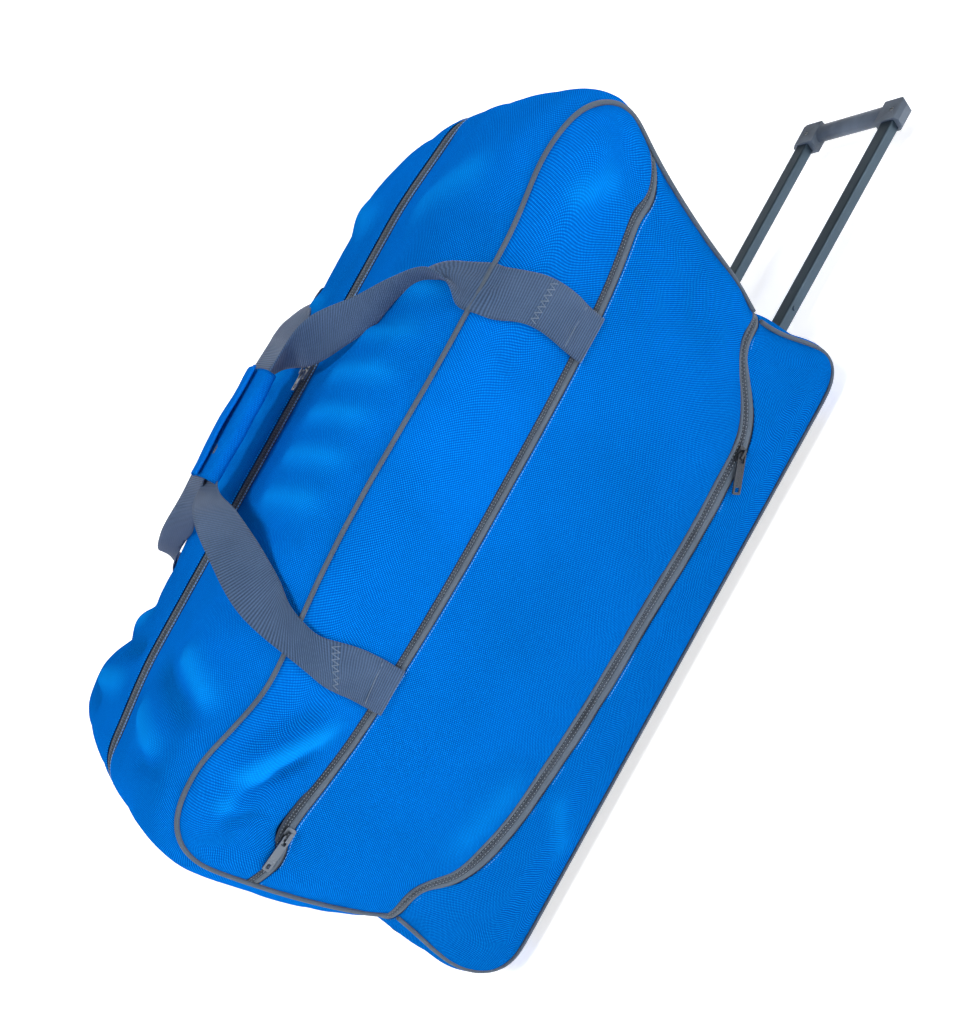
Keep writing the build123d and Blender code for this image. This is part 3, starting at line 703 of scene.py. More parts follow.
def seam_ids():
    """Grid points that sewing holds firm: zips, corded edges, and the stiffened floor."""
    held = set()
    nx, ny, nz = SKIN.nx, SKIN.ny, SKIN.nz
    zip_rows = (SKIN.base_low, SKIN.base_high, SKIN.pocket_low, SKIN.pocket_high)
    zip_ys = [j for j in range(ny + 1) if abs(abs(SKIN.ys[j]) - ZIP_WIDTH / 2) < 1e-6]
    for (i, j, k), number in SKIN.number.items():
        corded = (i in (0, nx)) + (j in (0, ny)) + (k in (0, nz)) >= 2 and j in (0, ny)
        on_zip = k in zip_rows[:2] or (k in zip_rows[2:] and j in (0, ny))
        on_main = j in zip_ys and (k == nz or (i in (0, nx) and SKIN.rows[k, i] > END_SEAM_Z))
        low = SKIN.box[number][2] < HEM_Z + 0.05
        if corded or on_zip or on_main or k == 0 or low:
            held.add(number)
    return held


def all_faces():
    return [ids for group in SKIN.faces.values() for ids, uvs in group]


PUFF_LIMIT = 0.013
CLOTH_FRAMES = 18


def puff_cloth():
    """Blows the skin up a little as cloth that is slightly too large for its seams, and keeps the result."""
    cloth_body = mesh_object("cloth_form", SKIN.points, all_faces())
    firm = cloth_body.vertex_groups.new(name="firm")
    firm.add(list(seam_ids()), 1.0, "REPLACE")
    settings = modifier(cloth_body, "CLOTH").settings
    settings.quality = 4
    settings.mass = 0.25
    settings.tension_stiffness = 25
    settings.compression_stiffness = 25
    settings.shear_stiffness = 8
    settings.bending_stiffness = 0.25
    settings.air_damping = 3
    settings.use_pressure = True
    settings.uniform_pressure_force = 1.6
    settings.shrink_min = -0.018
    settings.vertex_group_mass = "firm"
    settings.effector_weights.gravity = 0.0
    cloth_body.modifiers[0].collision_settings.use_collision = False
    scene = bpy.context.scene
    for number in range(1, CLOTH_FRAMES + 1):
        scene.frame_set(number)
    graph = bpy.context.evaluated_depsgraph_get()
    found = cloth_body.evaluated_get(graph).to_mesh()
    moved = np.zeros(len(found.vertices) * 3)
    found.vertices.foreach_get("co", moved)
    moved = moved.reshape(-1, 3)
    shift = moved - SKIN.points
    size = np.linalg.norm(shift, axis=1)
    shift *= (PUFF_LIMIT * np.tanh(size / PUFF_LIMIT) / np.maximum(size, 1e-9))[:, None]
    level = np.abs(SKIN.box[:, 1])
    on_top = SKIN.box[:, 2] > TOP_EDGE_Z - 1e-6
    shift *= np.where(on_top, 0.15 + 0.85 * smooth((level - 0.006) / 0.12), 1.0)[:, None]
    SKIN.points = SKIN.points + shift
    bpy.data.objects.remove(cloth_body)
    scene.frame_set(1)


ZIP_TILT = 0.45


def tip_main_zip():
    """The far half of the top stands fuller than the near half, so the main zip leans to the near side."""
    y = SKIN.box[:, 1]
    beyond = np.maximum(np.abs(y) - ZIP_WIDTH / 2, 0)
    rise = ZIP_TILT * np.clip(y, -ZIP_WIDTH / 2, ZIP_WIDTH / 2) * (1 - smooth(beyond / 0.1))
    on_top = SKIN.box[:, 2] > TOP_EDGE_Z - 1e-6
    ends = smooth((HALF_LENGTH - np.abs(SKIN.box[:, 0])) / 0.06)
    SKIN.points[:, 2] += np.where(on_top, rise * ends, 0)


puff_cloth()
tip_main_zip()


def point_normals(points, faces):
    """Outward direction at every point of the closed skin."""
    total = np.zeros_like(points)
    for ids in faces:
        a, b, c, d = points[list(ids)]
        normal = np.cross(c - a, d - b)
        for number in ids:
            total[number] += normal
    return total / np.linalg.norm(total, axis=1)[:, None]


NORMALS = point_normals(SKIN.points, all_faces())


# ------------------------------------------------------------- fabric panels

def cutter(name, outline, y_middle, y_half):
    """A hidden prism across the body, used to cut a panel."""
    count = len(outline)
    points = [(x, y_middle + side * y_half, z) for side in (-1, 1) for x, z in outline]
    faces = [[i, (i + 1) % count, count + (i + 1) % count, count + i] for i in range(count)]
    faces += [list(range(count))[::-1], list(range(count, 2 * count))]
    thing = mesh_object(name, points, faces)
    modifier(thing, "TRIANGULATE")
    apply_modifiers(thing)
    return thing


def cut(thing, *shapes):
    """Cuts these shapes out of a piece and removes them."""
    for shape in shapes:
        modifier(thing, "BOOLEAN", operation="DIFFERENCE", solver="EXACT", object=shape)
    apply_modifiers(thing)
    for shape in shapes:
        bpy.data.objects.remove(shape)


ARCH_GAP = 0.0045
ARCH_HALF_WIDTH = 0.0175


def wheel_cutters():
    """The space of each wheel arch and of the opening in the end behind it."""
    shapes = []
    for name in SIDES:
        low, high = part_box(f"wheel_tyre_{name}")
        x, z = (low[0] + high[0]) / 2, (low[2] + high[2]) / 2
        radius = (high[2] - low[2]) / 2 + ARCH_GAP
        middle = (low[1] + high[1]) / 2
        outline = [(x + dx, z + dz) for dx, dz in ring_section(radius, 40)]
        shapes.append(cutter(f"arch_{name}", outline, middle, ARCH_HALF_WIDTH))
    return shapes


CLOTH_THICKNESS = 0.0015
# Soft folds: panel, the two ends of the fold as (x from the middle, height) on a side or (x, y) on the top,
# half width and height. Metres; a negative height is a hollow.
FOLDS = [
    ("side_upper", (-0.31, 0.45), (-0.215, 0.38), 0.009, 0.0085),
    ("side_upper", (-0.33, 0.445), (-0.25, 0.385), 0.008, -0.007),
    ("side_upper", (-0.34, 0.45), (-0.28, 0.415), 0.008, 0.0065),
    ("side_upper", (-0.35, 0.44), (-0.32, 0.40), 0.007, -0.0055),
    ("side_upper", (-0.29, 0.46), (-0.205, 0.40), 0.009, -0.005),
    ("side_upper", (-0.345, 0.385), (-0.285, 0.37), 0.006, -0.0045),
    ("side_upper", (0.29, 0.44), (0.35, 0.40), 0.012, 0.0035),
    ("top_panel", (-0.255, -0.02), (-0.285, -0.16), 0.016, -0.008),
    ("top_panel", (-0.225, -0.08), (-0.26, -0.17), 0.013, 0.006),
    ("top_panel", (-0.30, -0.03), (-0.325, -0.15), 0.014, 0.006),
    ("top_panel", (-0.345, -0.09), (-0.33, -0.16), 0.01, -0.0045),
    ("top_panel", (0.25, -0.04), (0.30, -0.15), 0.02, 0.0045),
    ("side_lower", (0.31, 0.30), (0.30, 0.215), 0.022, -0.004),
    ("side_lower", (-0.30, 0.20), (-0.18, 0.16), 0.02, 0.0025),
    ("base_side", (-0.25, 0.05), (-0.18, 0.11), 0.014, 0.0025),
]
# A row of shallow folds runs along the middle of the top.
for start in np.arange(6) * 0.045 - 0.065:
    FOLDS.append(("top_panel", (start, -0.06), (start + 0.015, -0.17), 0.012, 0.0045))


def fold_height(name, x, v):
    """How far the folds lift a panel's points, from their x and their height or y."""
    total = np.zeros_like(x)
    for prefix, start, end, half, height in FOLDS:
        if not name.startswith(prefix):
            continue
        run = np.subtract(end, start)
        share = ((x - start[0]) * run[0] + (v - start[1]) * run[1]) / run.dot(run)
        away = np.hypot(x - start[0] - share * run[0], v - start[1] - share * run[1])
        taper = smooth(share / 0.35 + 0.2) * smooth((1 - share) / 0.35 + 0.2)
        total += height * np.exp(-((away / half) ** 2)) * taper
    return total


def add_folds(thing, name):
    """Moves a panel's points along their normals by its folds."""
    mesh = thing.data
    count = len(mesh.vertices)
    points, normals = np.zeros(count * 3), np.zeros(count * 3)
    mesh.vertices.foreach_get("co", points)
    mesh.vertices.foreach_get("normal", normals)
    points, normals = points.reshape(-1, 3), normals.reshape(-1, 3)
    x = points[:, 0] - MIDDLE_X
    v = -np.abs(points[:, 1]) if name.startswith("top") else points[:, 2]
    lift = fold_height(name, x, v)
    # The fold height is kept on the points, where the cloth paints highlights on crests and shade in hollows.
    stored = mesh.attributes.new("fold", "FLOAT", "POINT")
    stored.data.foreach_set("value", lift)
    points += normals * lift[:, None]
    mesh.vertices.foreach_set("co", points.ravel())
    mesh.update()


def panel(name, look, slot, cutters=None):
    """One sewn panel, cut from the skin, smoothed and given the cloth's thickness."""
    used = {}
    faces, uvs = [], []
    for ids, corners in SKIN.faces[name]:
        faces.append([used.setdefault(number, len(used)) for number in ids])
        uvs.extend(corners)
    thing = mesh_object(f"{name}_cloth", SKIN.points[list(used)], faces, uvs)
    modifier(thing, "SUBSURF", levels=2, boundary_smooth="PRESERVE_CORNERS")
    apply_modifiers(thing)
    add_folds(thing, name)
    modifier(thing, "SOLIDIFY", thickness=CLOTH_THICKNESS, offset=-1)
    apply_modifiers(thing)
    if cutters:
        cut(thing, *cutters())
    finish_piece(thing, look, "bag", slot, name)


for side_name in SIDES:
    for part in ("side_lower", "side_upper", "top_panel", "base_side"):
        panel(f"{part}_{side_name}", BLUE, "blue_fabric")
for end_name in ("end_panel_handle", "end_panel_wheel", "base_end_handle"):
    panel(end_name, BLUE, "blue_fabric")
panel("base_end_wheel", BLUE, "blue_fabric", wheel_cutters)
panel("base_floor", BASE_CLOTH, "base_fabric", wheel_cutters)


# --------------------------------------------------------------- corded edges

CORD_RADIUS = 0.0023
CORD_STAND = 0.0016


def side_edge(side, low, high):
    """Grid points up one end, along a long edge and down the other end, between two rows."""
    nx, j = SKIN.nx, (0 if side < 0 else SKIN.ny)
    rows = list(range(low, high + 1)) if high > low else list(range(low, high - 1, -1))
    return SKIN.line(
        [(0, j, k) for k in rows], [(i, j, rows[-1]) for i in range(nx + 1)],
        [(nx, j, k) for k in rows[::-1]],
    )


def soften(rows, times):
    """Evens out a line of points, its ends held."""
    rows = np.array(rows, float)
    for _ in range(times):
        rows[1:-1] += 0.5 * ((rows[:-2] + rows[2:]) / 2 - rows[1:-1])
    return rows


def corded_edge(name, ids):
    """A covered cord along a seam."""
    path = SKIN.points[ids] + NORMALS[ids] * CORD_STAND
    path, ups = resample(soften(path, 2), [NORMALS[ids]], 0.004)
    path = soften(path, 3)
    build = Build()
    sweep(build, path, ups, ring_section(CORD_RADIUS, 12))
    finish_piece(build.object(f"{name}_cord"), CORD, "bag", "piping", name)


for side_name, side in SIDES.items():
    corded_edge(f"piping_{side_name}", side_edge(side, SKIN.base_high, SKIN.nz))
    corded_edge(f"base_piping_{side_name}", side_edge(side, SKIN.base_low, 0))


# ----------------------------------------------------------------------- zips

class Seam:
    """A strip between two grid lines, walked so that its across direction points to its low side."""

    def __init__(self, low, high):
        low, high = list(low), list(high)
        first, second = SKIN.points[low], SKIN.points[high]
        normal = (NORMALS[low] + NORMALS[high]) / 2
        middle = soften((first + second) / 2, 2)
        width = np.linalg.norm(first - second, axis=1)[:, None]
        self.path, self.ups, self.widths = resample(middle, [normal, width], 0.004)
        self.ups = soften(self.ups, 2)

    def shifted(self, offset, lift=0.0):
        path, along, ups, across = frames_along(self.path, self.ups)
        return path + across * offset * self.share() + ups * lift

    def share(self):
        """Width at each place as a share of the widest."""
        return self.widths / self.widths.max()

    def rail(self, build, offset, lift, section):
        sweep(build, self.shifted(offset, lift), self.ups, section, self.share())

    def scatter(self, build, pitch, offset, lift, points, faces, phase=0.0):
        """Repeats a small (along, across, up) shape along the strip."""
        path, ups, share = resample(self.shifted(offset, lift), [self.ups, self.share()], pitch)
        if phase:
            path = path[:-1] + np.diff(path, axis=0) * phase
            ups, share = ups[:-1], share[:-1]
        path, along, ups, across = frames_along(path, ups)
        across = across * share
        shape = np.array(points, float)
        for p, t, u, a in zip(path, along, ups, across):
            build.add(p + shape[:, :1] * t + shape[:, 1:2] * a + shape[:, 2:] * u, faces)


def tooth(reach, half, height):
    """One coil loop: a rounded bar across the strip."""
    profile = [(-half, 0), (-0.8 * half, 0.65 * height), (0, height), (0.8 * half, 0.65 * height), (half, 0)]
    points = [(x, y, z) for y in reach for x, z in profile]
    faces = strip_faces(2, 5, turned=True) + [[0, 1, 2, 3, 4], [9, 8, 7, 6, 5], [4, 9, 5, 0]]
    return points, faces


def stitch(length=0.0026, width=0.0008, height=0.0005):
    """One stitch: a short rounded thread lying along the seam."""
    points = []
    for x, share in ((-0.5, 0.45), (-0.3, 1.0), (0.3, 1.0), (0.5, 0.45)):
        for y, z in ((-0.5, 0), (-0.3, 0.8), (0.3, 0.8), (0.5, 0)):
            points.append((x * length, y * width * share, z * height * share))
    return points, strip_faces(4, 4, turned=True) + [[0, 1, 2, 3], [15, 14, 13, 12]]


def zip_piece(name, seams, width, coil_at, coil_half, pitch, rails, stitches):
    """A whole zip: dark tape, two rows of coil with light thread, grey tape rolls, and its stitching."""
    tape, coil, light, roll, sewn = Build(), Build(), Build(), Build(), Build()
    half = width / 2 + 0.0015
    for seam in seams:
        seam.rail(tape, 0, -0.0012, [(-half, -0.0006), (-half, 0.0004), (half, 0.0004), (half, -0.0006)])
        for side in (-1, 1):
            reach = sorted((side * -0.00025, side * coil_half))
            shape = tooth(reach, pitch * 0.27, 0.0011)
            seam.scatter(coil, pitch, coil_at, -0.0010, *shape, phase=0.5 if side > 0 else 0.0)
            shape = stitch(pitch * 0.7, coil_half * 0.34, 0.0005)
            seam.scatter(light, pitch * 2, coil_at + side * coil_half * 0.72, -0.0002, *shape, phase=0.5)
        for offset, roll_half, height in rails:
            arc = [(roll_half * cos(pi * i / 8), height * sin(pi * i / 8)) for i in range(9)]
            seam.rail(roll, offset, -0.0012, arc[::-1])
        for offset in stitches:
            seam.scatter(sewn, 0.0036, offset, 0.0002, *stitch())
    looks = (
        (tape, TAPE_DARK, "tape"), (coil, COIL, "coil"), (light, COIL_THREAD, "coil_thread"),
        (roll, TAPE, "fold"), (sewn, THREAD, "stitching"),
    )
    for build, look, label in looks:
        if build.points:
            finish_piece(build.object(f"{name}_{label}"), look, "bag", "zip_tape")
    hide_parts(name)


def side_seam(side, low, high):
    """The strip along one side between two rows, walked wheel to handle on the right and back on the left."""
    j = 0 if side < 0 else SKIN.ny
    columns = range(SKIN.nx + 1) if side < 0 else range(SKIN.nx, -1, -1)
    return Seam(SKIN.line([(i, j, low) for i in columns]), SKIN.line([(i, j, high) for i in columns]))


def loop_line(row):
    """Grid points once round the body at a row, starting in the middle of the wheel end."""
    nx, ny = SKIN.nx, SKIN.ny
    half = ny // 2
    return SKIN.line(
        [(0, j, row) for j in range(half, -1, -1)], [(i, 0, row) for i in range(nx + 1)],
        [(nx, j, row) for j in range(ny + 1)], [(i, ny, row) for i in range(nx, -1, -1)],
        [(0, j, row) for j in range(ny, half - 1, -1)],
    )


def over_line(j):
    """Grid points up the wheel end, over the top and down the handle end at a column."""
    nx, nz = SKIN.nx, SKIN.nz
    rows = [k for k in range(nz + 1) if SKIN.rows[k, 0] >= END_SEAM_Z]
    return SKIN.line(
        [(0, j, k) for k in rows], [(i, j, nz) for i in range(nx + 1)],
        [(nx, j, k) for k in rows[::-1]],
    )


for side_name, side in SIDES.items():
    zip_piece(
        f"pocket_zip_{side_name}", [side_seam(side, SKIN.pocket_low, SKIN.pocket_high)], ZIP_WIDTH,
        coil_at=-0.0036, coil_half=0.0022, pitch=0.0016, rails=[(0.0030, 0.0032, 0.0019)],
        stitches=(0.0088,),
    )
zip_piece(
    "base_zip", [Seam(loop_line(SKIN.base_low), loop_line(SKIN.base_high))], BASE_ZIP_WIDTH,
    coil_at=-0.0026, coil_half=0.0036, pitch=0.0020,
    rails=[(-0.0092, 0.0026, 0.0024), (0.0062, 0.0042, 0.0016)], stitches=(0.0140,),
)
middle_column = SKIN.ny // 2
zip_piece(
    "main_zip", [Seam(over_line(middle_column - 1), over_line(middle_column + 1))], ZIP_WIDTH,
    coil_at=0.0, coil_half=0.0024, pitch=0.0016,
    rails=[(-0.0046, 0.0016, 0.0008), (0.0046, 0.0016, 0.0008)], stitches=(-0.0088, 0.0088),
)


# ----------------------------------------------------------- straps and wrap

STRAP_THICKNESS = 0.0022
STRAP_CLEARANCE = 0.0016
STRAP_COLUMNS = 13
STRAP_WIDTH = 0.048
# A straight and a zigzag row of stitches: their two distances from the end of the strap, and their turns
STITCH_ROWS = ((0.022, 0.022, 3), (0.062, 0.070, 15))
# Stations of each half strap from its anchor to the wrap: the middle of the band in millimetres, x from
# the middle of the body, and the direction across the band.
NEAR_HANDLE_HALF = [
    ((215, -204, 345), (1, 0, 0)), ((205, -204, 420), (1, 0, 0)), ((190, -200, 450), (1, 0, 0.1)),
    ((185, -182, 468), (1, 0.1, -0.2)), ((185, -165, 478), (0.6, 0.8, -0.4)),
    ((175, -140, 495), (-0.2, 0.9, -0.4)), ((145, -115, 510), (-0.7, 0.6, -0.4)),
    ((120, -95, 520), (-0.8, 0.4, -0.4)), ((85, -55, 535), (-0.5, 0.5, -0.7)),
    ((60, -20, 540), (0, 0.9, -0.4)), ((0, -3, 543), (0, 1, 0)),
]
NEAR_WHEEL_HALF = [
    ((-170, -204, 350), (1, 0, 0)), ((-170, -204, 400), (1, 0, 0.3)), ((-174, -204, 430), (0.8, 0, 0.6)),
    ((-168, -198, 455), (0.8, 0.2, 0.5)), ((-150, -165, 495), (1, 0, -0.3)),
    ((-125, -125, 523), (0.7, -0.4, -0.5)),
    ((-103, -78, 540), (0.5, -0.7, -0.5)), ((-75, -14, 542), (0.1, -1, 0)), ((0, -3, 543), (0, -1, 0)),
]
FAR_HANDLE_HALF = [
    ((215, 204, 345), (-1, 0, 0)), ((215, 205, 415), (-1, 0, 0)), ((208, 198, 450), (-0.9, 0.4, 0)),
    ((190, 157, 484), (-0.1, 1, -0.1)), ((130, 100, 514), (0.2, 1, 0.2)), ((100, 50, 530), (0.1, 1, 0.2)),
    ((78, 2, 542), (0, 1, 0.2)), ((60, -10, 548), (0, 1, 0.1)), ((0, 0, 552), (0, 1, 0)),
]
FAR_WHEEL_HALF = [
    ((-170, 204, 345), (-1, 0, 0)), ((-170, 205, 410), (-1, 0, 0)), ((-171, 200, 447), (-1, -0.2, 0)),
    ((-167, 178, 479), (-0.5, -0.9, -0.2)), ((-155, 136, 502), (0.3, -0.9, -0.4)),
    ((-138, 98, 517), (0.3, -0.8, -0.4)),
    ((-90, 25, 542), (0.1, -1, -0.1)), ((-72, 5, 550), (0, -1, 0)), ((0, 0, 552), (0, -1, 0)),
]


def band_edges(stations):
    """The two edges of a band at each of its stations, as rows of six numbers in metres."""
    rows = []
    for middle, across in stations:
        reach = Vector(across).normalized() * STRAP_WIDTH / 2
        rows.append([*(Vector(middle) / 1000 + reach), *(Vector(middle) / 1000 - reach)])
    return rows


def through(rows, count):
    """A smooth line through rows that each hold the two ends of a cross line."""
    rows = np.array(rows, float)
    middle = (rows[:, :3] + rows[:, 3:]) / 2
    reach = distances(middle)
    at = np.linspace(0, reach[-1], count)
    return np.stack([curve(list(zip(reach, column)), at) for column in rows.T], 1)


def clear_of_skin(points, clearance):
    """Moves points that lie closer to the cloth than the clearance out to it."""
    moved = points.copy()
    for i, p in enumerate(points):
        spot, normal, face, _ = SKIN_TREE.find_nearest(Vector(p), 0.08)
        if spot is None:
            continue
        height = (Vector(p) - spot).dot(normal)
        if height < clearance:
            moved[i] = np.array(Vector(p) + normal * (clearance - height))
    return moved


def strap_grid(first, second):
    """Points and outward directions of a strap's middle surface, rows along it and columns across."""
    back = band_edges(second)[-2::-1]
    rows = through(band_edges(first) + [row[3:] + row[:3] for row in back], 240)
    share = np.linspace(-1, 1, STRAP_COLUMNS)[None, :, None]
    one, two = rows[:, None, :3], rows[:, None, 3:]
    grid = (one + two) / 2 + (two - one) / 2 * share
    grid[:, :, 0] += MIDDLE_X
    shape = grid.shape
    for _ in range(2):
        grid = clear_of_skin(grid.reshape(-1, 3), STRAP_CLEARANCE + STRAP_THICKNESS / 2).reshape(shape)
        grid[1:-1] += 0.5 * ((grid[:-2] + grid[2:]) / 2 - grid[1:-1])
    along, across = np.gradient(grid, axis=0), np.gradient(grid, axis=1)
    out = np.cross(along, across)
    out /= np.linalg.norm(out, axis=2)[:, :, None]
    if out[0, 0, 1] * grid[0, 0, 1] < 0:
        out = -out
    return grid, out


def strap(name, first, second):
    """One webbing strap and the stitching that holds its ends."""
    grid, out = strap_grid(first, second)
    count, columns = grid.shape[:2]
    reach = distances(grid[:, columns // 2])
    width = np.linspace(-0.0245, 0.0245, columns)
    thick = STRAP_THICKNESS / 2 * (1 - 0.5 * np.abs(np.linspace(-1, 1, columns)) ** 10)
    build = Build()
    loop = list(range(columns)) + [columns + j for j in reversed(range(columns))]
    points = np.concatenate([grid + out * thick[None, :, None], grid - out * thick[None, :, None]], 1)
    uvs = [(reach[i], width[j % columns]) for i in range(count) for j in range(2 * columns)]
    faces = []
    for i in range(count - 1):
        for a, b in zip(loop, loop[1:] + loop[:1]):
            low, high = 2 * columns * i, 2 * columns * (i + 1)
            faces.append([low + a, low + b, high + b, high + a])
    faces += [loop, [2 * columns * (count - 1) + a for a in reversed(loop)]]
    build.add(points.reshape(-1, 3), faces, uvs)
    thing = build.object(f"{name}_webbing")
    mesh = bmesh.new()
    mesh.from_mesh(thing.data)
    bmesh.ops.recalc_face_normals(mesh, faces=mesh.faces)
    mesh.to_mesh(thing.data)
    mesh.free()
    finish_piece(thing, WEBBING, "bag", "webbing", name)
    sewn = Build()
    for near in (grid, grid[::-1]):
        at = distances(near[:, columns // 2])
        outward = np.array([0, np.sign(near[0, 0, 1]), 0])
        for low, high, turns in STITCH_ROWS:
            spots = []
            for i in range(turns):
                row = int(np.searchsorted(at, low if i % 2 == 0 else high))
                place = 0.8 + (columns - 2.6) * i / (turns - 1)
                column = np.stack([np.interp(place, range(columns), near[row, :, axis]) for axis in range(3)])
                spots.append(column + outward * (STRAP_THICKNESS / 2 + 0.0002))
            for a, b in zip(spots, spots[1:]):
                sweep(sewn, np.linspace(a, b, 3), [outward] * 3, ring_section(0.00045, 6))
    finish_piece(sewn.object(f"{name}_stitching"), STRAP_THREAD, "bag", "webbing")


SKIN_TREE = BVHTree.FromPolygons([tuple(p) for p in SKIN.points], [tuple(f) for f in all_faces()])
strap("carry_strap_right", NEAR_HANDLE_HALF, NEAR_WHEEL_HALF)
strap("carry_strap_left", FAR_HANDLE_HALF, FAR_WHEEL_HALF)


WRAP_DRAW = Vector((0, 0.009, 0.003))
WRAP_SPREAD = 0.004
# The flap's free edge and sewn edge, as angles round the sleeve
FLAP_HEM, FLAP_SEWN = radians(98), radians(-70)


def wrap():
    """The padded grip wrap: a stuffed sleeve, and a flap that closes over it with a rolled edge."""
    low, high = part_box("grip_wrap")
    middle = (low + high) / 2 - WRAP_DRAW
    half_y, half_z = (high[1] - low[1]) / 2 + WRAP_SPREAD, (high[2] - low[2]) / 2
    stations = np.linspace(low[0] + 0.001, high[0] - 0.001, 33)
    sides = 48
    body, flap = Build(), Build()

    def ring_point(x, turn, swell=0.0):
        share = (x - middle[0]) / (high[0] - low[0]) * 2
        fat = 1 - 0.08 * share**2 + 0.02 * sin(9 * share) * cos(turn)
        y = (half_y * fat - 0.003 + swell) * np.sign(cos(turn)) * abs(cos(turn)) ** 0.6
        z = (half_z * fat - 0.002 + swell) * np.sign(sin(turn)) * abs(sin(turn)) ** 0.6
        return x, middle[1] + y, middle[2] + z

    points, uvs = [], []
    for x in stations:
        for i, turn in enumerate(around(sides)):
            points.append(ring_point(x, turn))
            uvs.append((x, 0.004 * i))
    start = len(points)
    for x, push in ((stations[0], 0.004), (stations[-1], -0.004)):
        centre = Vector((x, middle[1], middle[2]))
        for turn in around(sides):
            points.append(centre + (Vector(ring_point(x, turn)) - centre) * 0.72 + Vector((push, 0, 0)))
            uvs.append((0, 0))
    last = start - sides
    faces = strip_faces(len(stations), sides, closed=True, turned=True)
    for i in range(sides):
        j = (i + 1) % sides
        faces.append([i, j, start + j, start + i])
        faces.append([last + j, last + i, start + sides + i, start + sides + j])
    faces.append([start + i for i in range(sides)])
    faces.append([start + sides + i for i in reversed(range(sides))])
    body.add(points, faces, uvs)
    sleeve = body.object("grip_wrap_sleeve")
    finish_piece(sleeve, BLUE, "bag", "blue_fabric", "grip_wrap")

    turns = np.linspace(FLAP_HEM, FLAP_SEWN, 22)
    outer = []
    for x in stations:
        share = (x - middle[0]) / (high[0] - low[0]) * 2
        for turn in turns:
            open_share = smooth((turn - radians(60)) / (FLAP_HEM - radians(60)))
            lift = 0.0022 * (1 + open_share) + 0.0006 * sin(5 * share + 2)
            outer.append(ring_point(x, turn, lift))
    count = len(turns)
    flap_uvs = [(x, 0.003 * i) for x in stations for i in range(count)]
    flap.add(outer, strip_faces(len(stations), count), flap_uvs)
    sheet = flap.object("grip_wrap_flap")
    modifier(sheet, "SOLIDIFY", thickness=0.0014, offset=0)
    modifier(sheet, "SUBSURF", levels=1)
    apply_modifiers(sheet)
    finish_piece(sheet, BLUE_PLAIN, "bag", "blue_fabric")
    edge = Build()
    lip = [Vector(spot) + Vector((0, 0, 0.0004)) for spot in outer[::count]]
    sweep(edge, lip, [(0, 0, 1)] * len(lip), ring_section(0.0016, 10))
    finish_piece(edge.object("grip_wrap_hem"), BLUE_PLAIN, "bag", "blue_fabric")


wrap()


# ------------------------------------------------------------ carried-over CAD

CAD_LOOKS = {
    ZIP_METAL: ("main_slider", "main_pull", "pocket_slider", "pocket_pull"),
    PULL_BLACK: ("base_slider", "base_pull"),
    BLACK: ("wheel_housing", "tube_glide", "handle_bezel", "end_bracket", "front_stand"),
    TUBE_METAL: ("lock_button", "inner_tube", "outer_tube"),
    STEEL: ("wheel_axle", "grip_screws", "button_springs", "frame_rivets"),
    GRIP: ("grip_block", "grip_bar"),
    HUB: ("wheel_hub",),
    TYRE: ("wheel_tyre",),
    BOARD: ("base_board",),
}
BEVELS = {
    "grip_block": 0.0012, "grip_bar": 0.001, "front_stand": 0.001,
    "wheel_housing": 0.0008, "handle_bezel": 0.0008,
}
SMALL_BEVEL = 0.00025


def dress_cad():
    """Gives every shown CAD node its material and softened edges."""
    looks = {kind: look for look, kinds in CAD_LOOKS.items() for kind in kinds}
    for name, thing in NODES.items():
        kind = next((kind for kind in looks if name.startswith(kind)), None)
        if kind is None:
            continue
        if not thing.material_slots:
            thing.data.materials.append(None)
        for place in thing.material_slots:
            place.link = "OBJECT"
            place.material = looks[kind]
        modifier(
            thing, "BEVEL", width=BEVELS.get(kind, SMALL_BEVEL), segments=2, limit_method="ANGLE",
            angle_limit=radians(40), use_clamp_overlap=True,
        )


dress_cad()


# ---------------------------------------------------------- floor and lighting

FLOOR_GLOW = 0.62
# The floor glows fully from the second of these distances from the body
GLOW_NEAR, GLOW_FAR = 0.9, 2.4
FLOOR_RADIUS, WALL_HEIGHT = 12.0, 3.5
FLOOR_SIDES = 64
# The sky lights this faintly but shows white
SKY_GLOW = 0.16
# Name, place beyond the middle of the body, size in metres, power in watts
LAMPS = (
    ("key", (-0.55, -1.1, 2.4), 0.5, 28),
    ("fill", (1.8, -1.6, 1.5), 2.0, 3),
    ("top", (0.3, 0.6, 2.4), 1.6, 11),
)


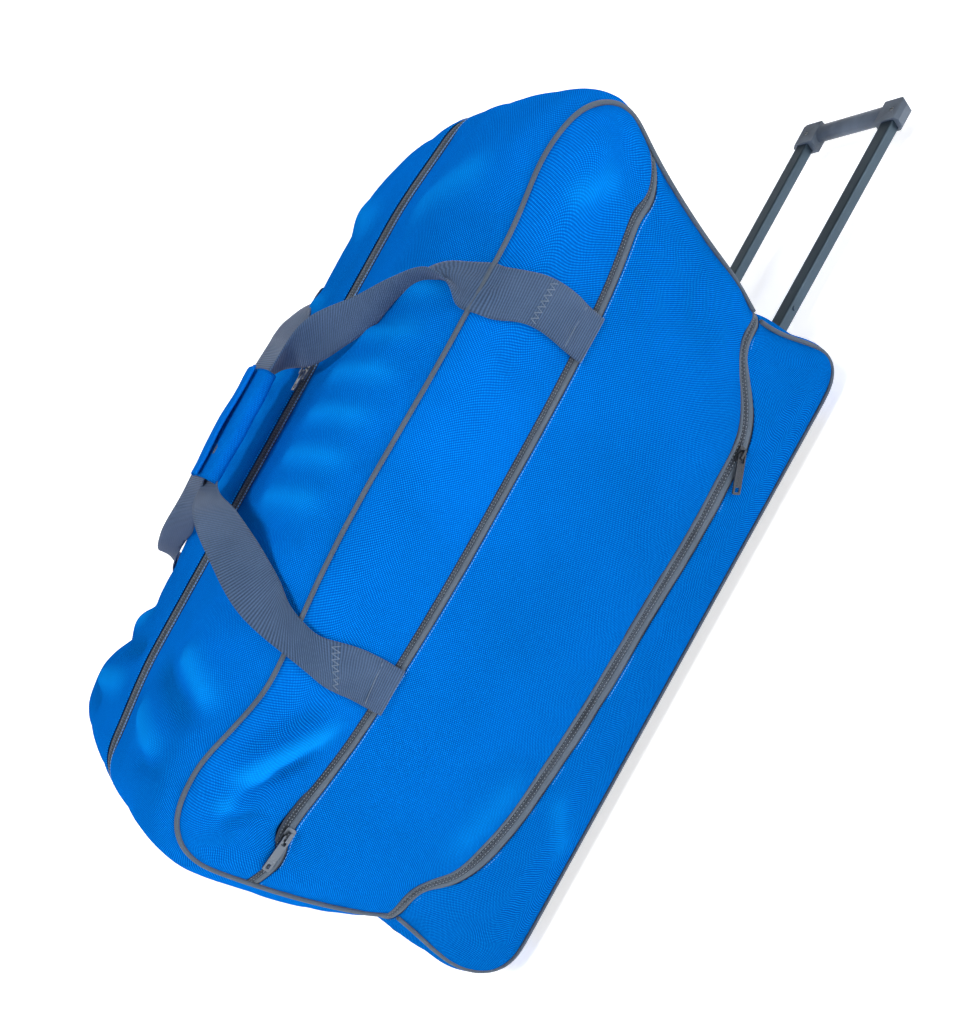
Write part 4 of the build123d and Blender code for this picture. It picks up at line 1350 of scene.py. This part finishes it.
def add_floor():
    """A round white floor with a low wall, brighter away from the body."""
    s = Shader("floor_paper")
    where = s.place()
    s.set(
        Base_Color=s.mix(s.noise(where, 3.0), shade(243, 244, 246), shade(249, 249, 250)),
        Roughness=0.75,
        Normal=s.bump(s.noise(where, 350.0), 0.0001, 0.3),
        Specular_IOR_Level=0.2,
    )
    middle = s.node("Mapping", {"Vector": where, "Location": (-MIDDLE_X, 0, 0)}).outputs[0]
    away = s.node("VectorMath", {0: middle}, operation="LENGTH").outputs["Value"]
    glow = s.ramp(away, GLOW_NEAR, GLOW_FAR, FLOOR_GLOW, 1.0)
    s.set(Emission_Color=(1, 1, 1, 1), Emission_Strength=glow)
    rim = ring_section(FLOOR_RADIUS, FLOOR_SIDES)
    points = [(MIDDLE_X + x, y, z) for z in (0, WALL_HEIGHT) for x, y in rim]
    faces = [list(range(FLOOR_SIDES)), *strip_faces(2, FLOOR_SIDES, closed=True)]
    floor = mesh_object("floor", points, faces)
    floor.data.materials.append(s.material)


def add_area(name, spot, size, power):
    """A square area light aimed at the middle of the body."""
    data = bpy.data.lights.new(name, "AREA")
    data.energy = power
    data.size = size
    thing = bpy.data.objects.new(name, data)
    thing.location = spot
    aim = Vector((MIDDLE_X, 0, CROWN_Z / 2)) - Vector(spot)
    thing.rotation_euler = aim.to_track_quat("-Z", "Y").to_euler()
    bpy.context.scene.collection.objects.link(thing)


def light_stage():
    """A white sky that lights only faintly, and three area lights."""
    world = bpy.data.worlds.new("studio")
    bpy.context.scene.world = world
    world.use_nodes = True
    tree = world.node_tree
    backdrop = tree.nodes["Background"]
    backdrop.inputs["Color"].default_value = (1.0, 1.0, 1.0, 1.0)
    seen = tree.nodes.new("ShaderNodeLightPath").outputs["Is Camera Ray"]
    strength = tree.nodes.new("ShaderNodeMapRange")
    strength.inputs["To Min"].default_value = SKY_GLOW
    tree.links.new(seen, strength.inputs["Value"])
    tree.links.new(strength.outputs[0], backdrop.inputs["Strength"])
    for name, (x, y, z), size, power in LAMPS:
        add_area(name, (MIDDLE_X + x, y, z), size, power)


add_floor()
light_stage()
